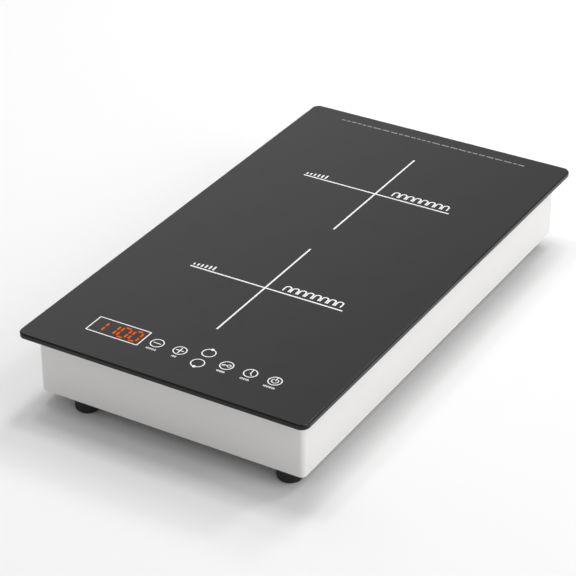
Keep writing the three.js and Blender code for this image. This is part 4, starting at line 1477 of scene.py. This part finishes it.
FLOOR_REACH = 6
AIM = Vector((20.575, -76.999, 78.0)) * MM
CAMERA = {"azimuth": 30.716, "elevation": 30.729, "distance": 1965.5, "roll": -0.193, "lens": 137.357}
SKY_LEVEL = 0.33
SKY_PATCHES = (
    ((1, 0, 0.35), 0, 0.36),
    ((0, 1, 0.35), 0, 0.08),
    ((-0.75, 0.5, 0.42), 0.8, 0.38),
)
LAMPS = (
    ((0, 3, 3), 0.8, 21),
    ((1.8, 2.7, 3), 0.8, 27),
    ((2.6, 0.2, 1.6), 1.4, 17),
    ((-0.9, 0.25, 3), 0.4, 12.5),
    ((-0.45, 1.8, 3), 0.35, 8),
    ((-0.2, 0.8, 3), 0.5, 15.5),
    ((-1.7, 0.9, 2.6), 1.4, 3),
)


def floor():
    mesh = bpy.data.meshes.new("floor")
    corners = [(-FLOOR_REACH, -FLOOR_REACH, 0), (FLOOR_REACH, -FLOOR_REACH, 0)]
    corners += [(FLOOR_REACH, FLOOR_REACH, 0), (-FLOOR_REACH, FLOOR_REACH, 0)]
    mesh.from_pydata(corners, [], [(0, 1, 2, 3)])
    f = Finish("floor_paper", {})
    grain = f.clouds(2.5, 3)
    mesh.materials.append(f.show({
        "Base Color": f.tint(grain, grey(0.875), grey(0.86)),
        "Roughness": 0.75 + grain * 0.1,
    }))
    ground = bpy.data.objects.new("floor", mesh)
    bpy.context.scene.collection.objects.link(ground)


def sky():
    """A plain studio dome: an even level, and soft patches of light that fade out from their middles."""
    world = bpy.data.worlds.new("studio")
    bpy.context.scene.world = world
    world.use_nodes = True
    nodes, links = world.node_tree.nodes, world.node_tree.links
    where = nodes.new("ShaderNodeTexCoord").outputs["Generated"]
    total = None
    for toward, fades_at, level in SKY_PATCHES:
        facing = nodes.new("ShaderNodeVectorMath")
        facing.operation = "DOT_PRODUCT"
        facing.inputs[1].default_value = Vector(toward).normalized()
        links.new(where, facing.inputs[0])
        patch = nodes.new("ShaderNodeMapRange")
        patch.interpolation_type = "SMOOTHSTEP"
        patch.inputs["From Min"].default_value = fades_at
        patch.inputs["To Max"].default_value = level
        links.new(facing.outputs["Value"], patch.inputs["Value"])
        both = nodes.new("ShaderNodeMath")
        both.inputs[1].default_value = SKY_LEVEL
        links.new(patch.outputs["Result"], both.inputs[0])
        if total:
            links.new(total, both.inputs[1])
        total = both.outputs["Value"]
    links.new(total, nodes["Background"].inputs["Strength"])
    nodes["Background"].inputs["Color"].default_value = (1, 1, 1, 1)


def lamp(name, place, size, power):
    """A square soft light that faces the middle of the floor."""
    light = bpy.data.lights.new(name, "AREA")
    light.shape = "SQUARE"
    light.size = size
    light.energy = power
    holder = bpy.data.objects.new(name, light)
    holder.location = place
    holder.rotation_euler = (-Vector(place)).to_track_quat("-Z", "Y").to_euler()
    bpy.context.scene.collection.objects.link(holder)


def camera():
    data = bpy.data.cameras.new("camera")
    data.lens = CAMERA["lens"]
    data.clip_end = 20
    azimuth, elevation, roll = (math.radians(CAMERA[k]) for k in ("azimuth", "elevation", "roll"))
    level = math.cos(elevation)
    back = Vector((math.sin(azimuth) * level, -math.cos(azimuth) * level, math.sin(elevation)))
    right = Vector((0, 0, 1)).cross(back).normalized()
    up = back.cross(right)
    across = right * math.cos(roll) + up * math.sin(roll)
    upward = up * math.cos(roll) - right * math.sin(roll)
    holder = bpy.data.objects.new("camera", data)
    place = Matrix((across, upward, back)).transposed().to_4x4()
    place.translation = AIM + back * CAMERA["distance"] * MM
    holder.matrix_world = place
    bpy.context.scene.collection.objects.link(holder)
    bpy.context.scene.camera = holder


def studio():
    camera()
    floor()
    sky()
    for i, (place, size, power) in enumerate(LAMPS, 1):
        lamp(f"softbox_{i}", place, size, power)
    scene = bpy.context.scene
    scene.view_settings.view_transform = "Standard"
    scene.view_settings.look = "None"


# ---- assembly ----

studio()
glass_plate()
glass_gasket()
display_frame()
display_digits()
key_symbols()
zone_marks()
rear_rule()
housing()
base_panel()
feet_and_screws()
cord_bush()
for end in COIL_ENDS:
    coil_bracket(end)
    ferrite_bars(end)
    coil_bobbin(end)
    coil_winding(end)
    mica_sheet(end)
    pan_sensor(end)
    fan_frame(end)
    fan_rotor(end)
power_laminate()
heatsink()
power_package("power_transistor_front", 3, 5.45)
power_package("power_transistor_rear", 3, 5.45)
power_package("bridge_rectifier", 4, 4.6)
thermal_pads()
for node in ("smoothing_capacitor", "resonance_capacitor_front", "resonance_capacitor_rear"):
    box_capacitor(node)
filter_choke()
can_capacitors()
relay_and_chips()
chip_pins()
wire_sockets()
resistors()
terminal_block()
control_bracket()
control_laminate()
touch_pads()
display_module()
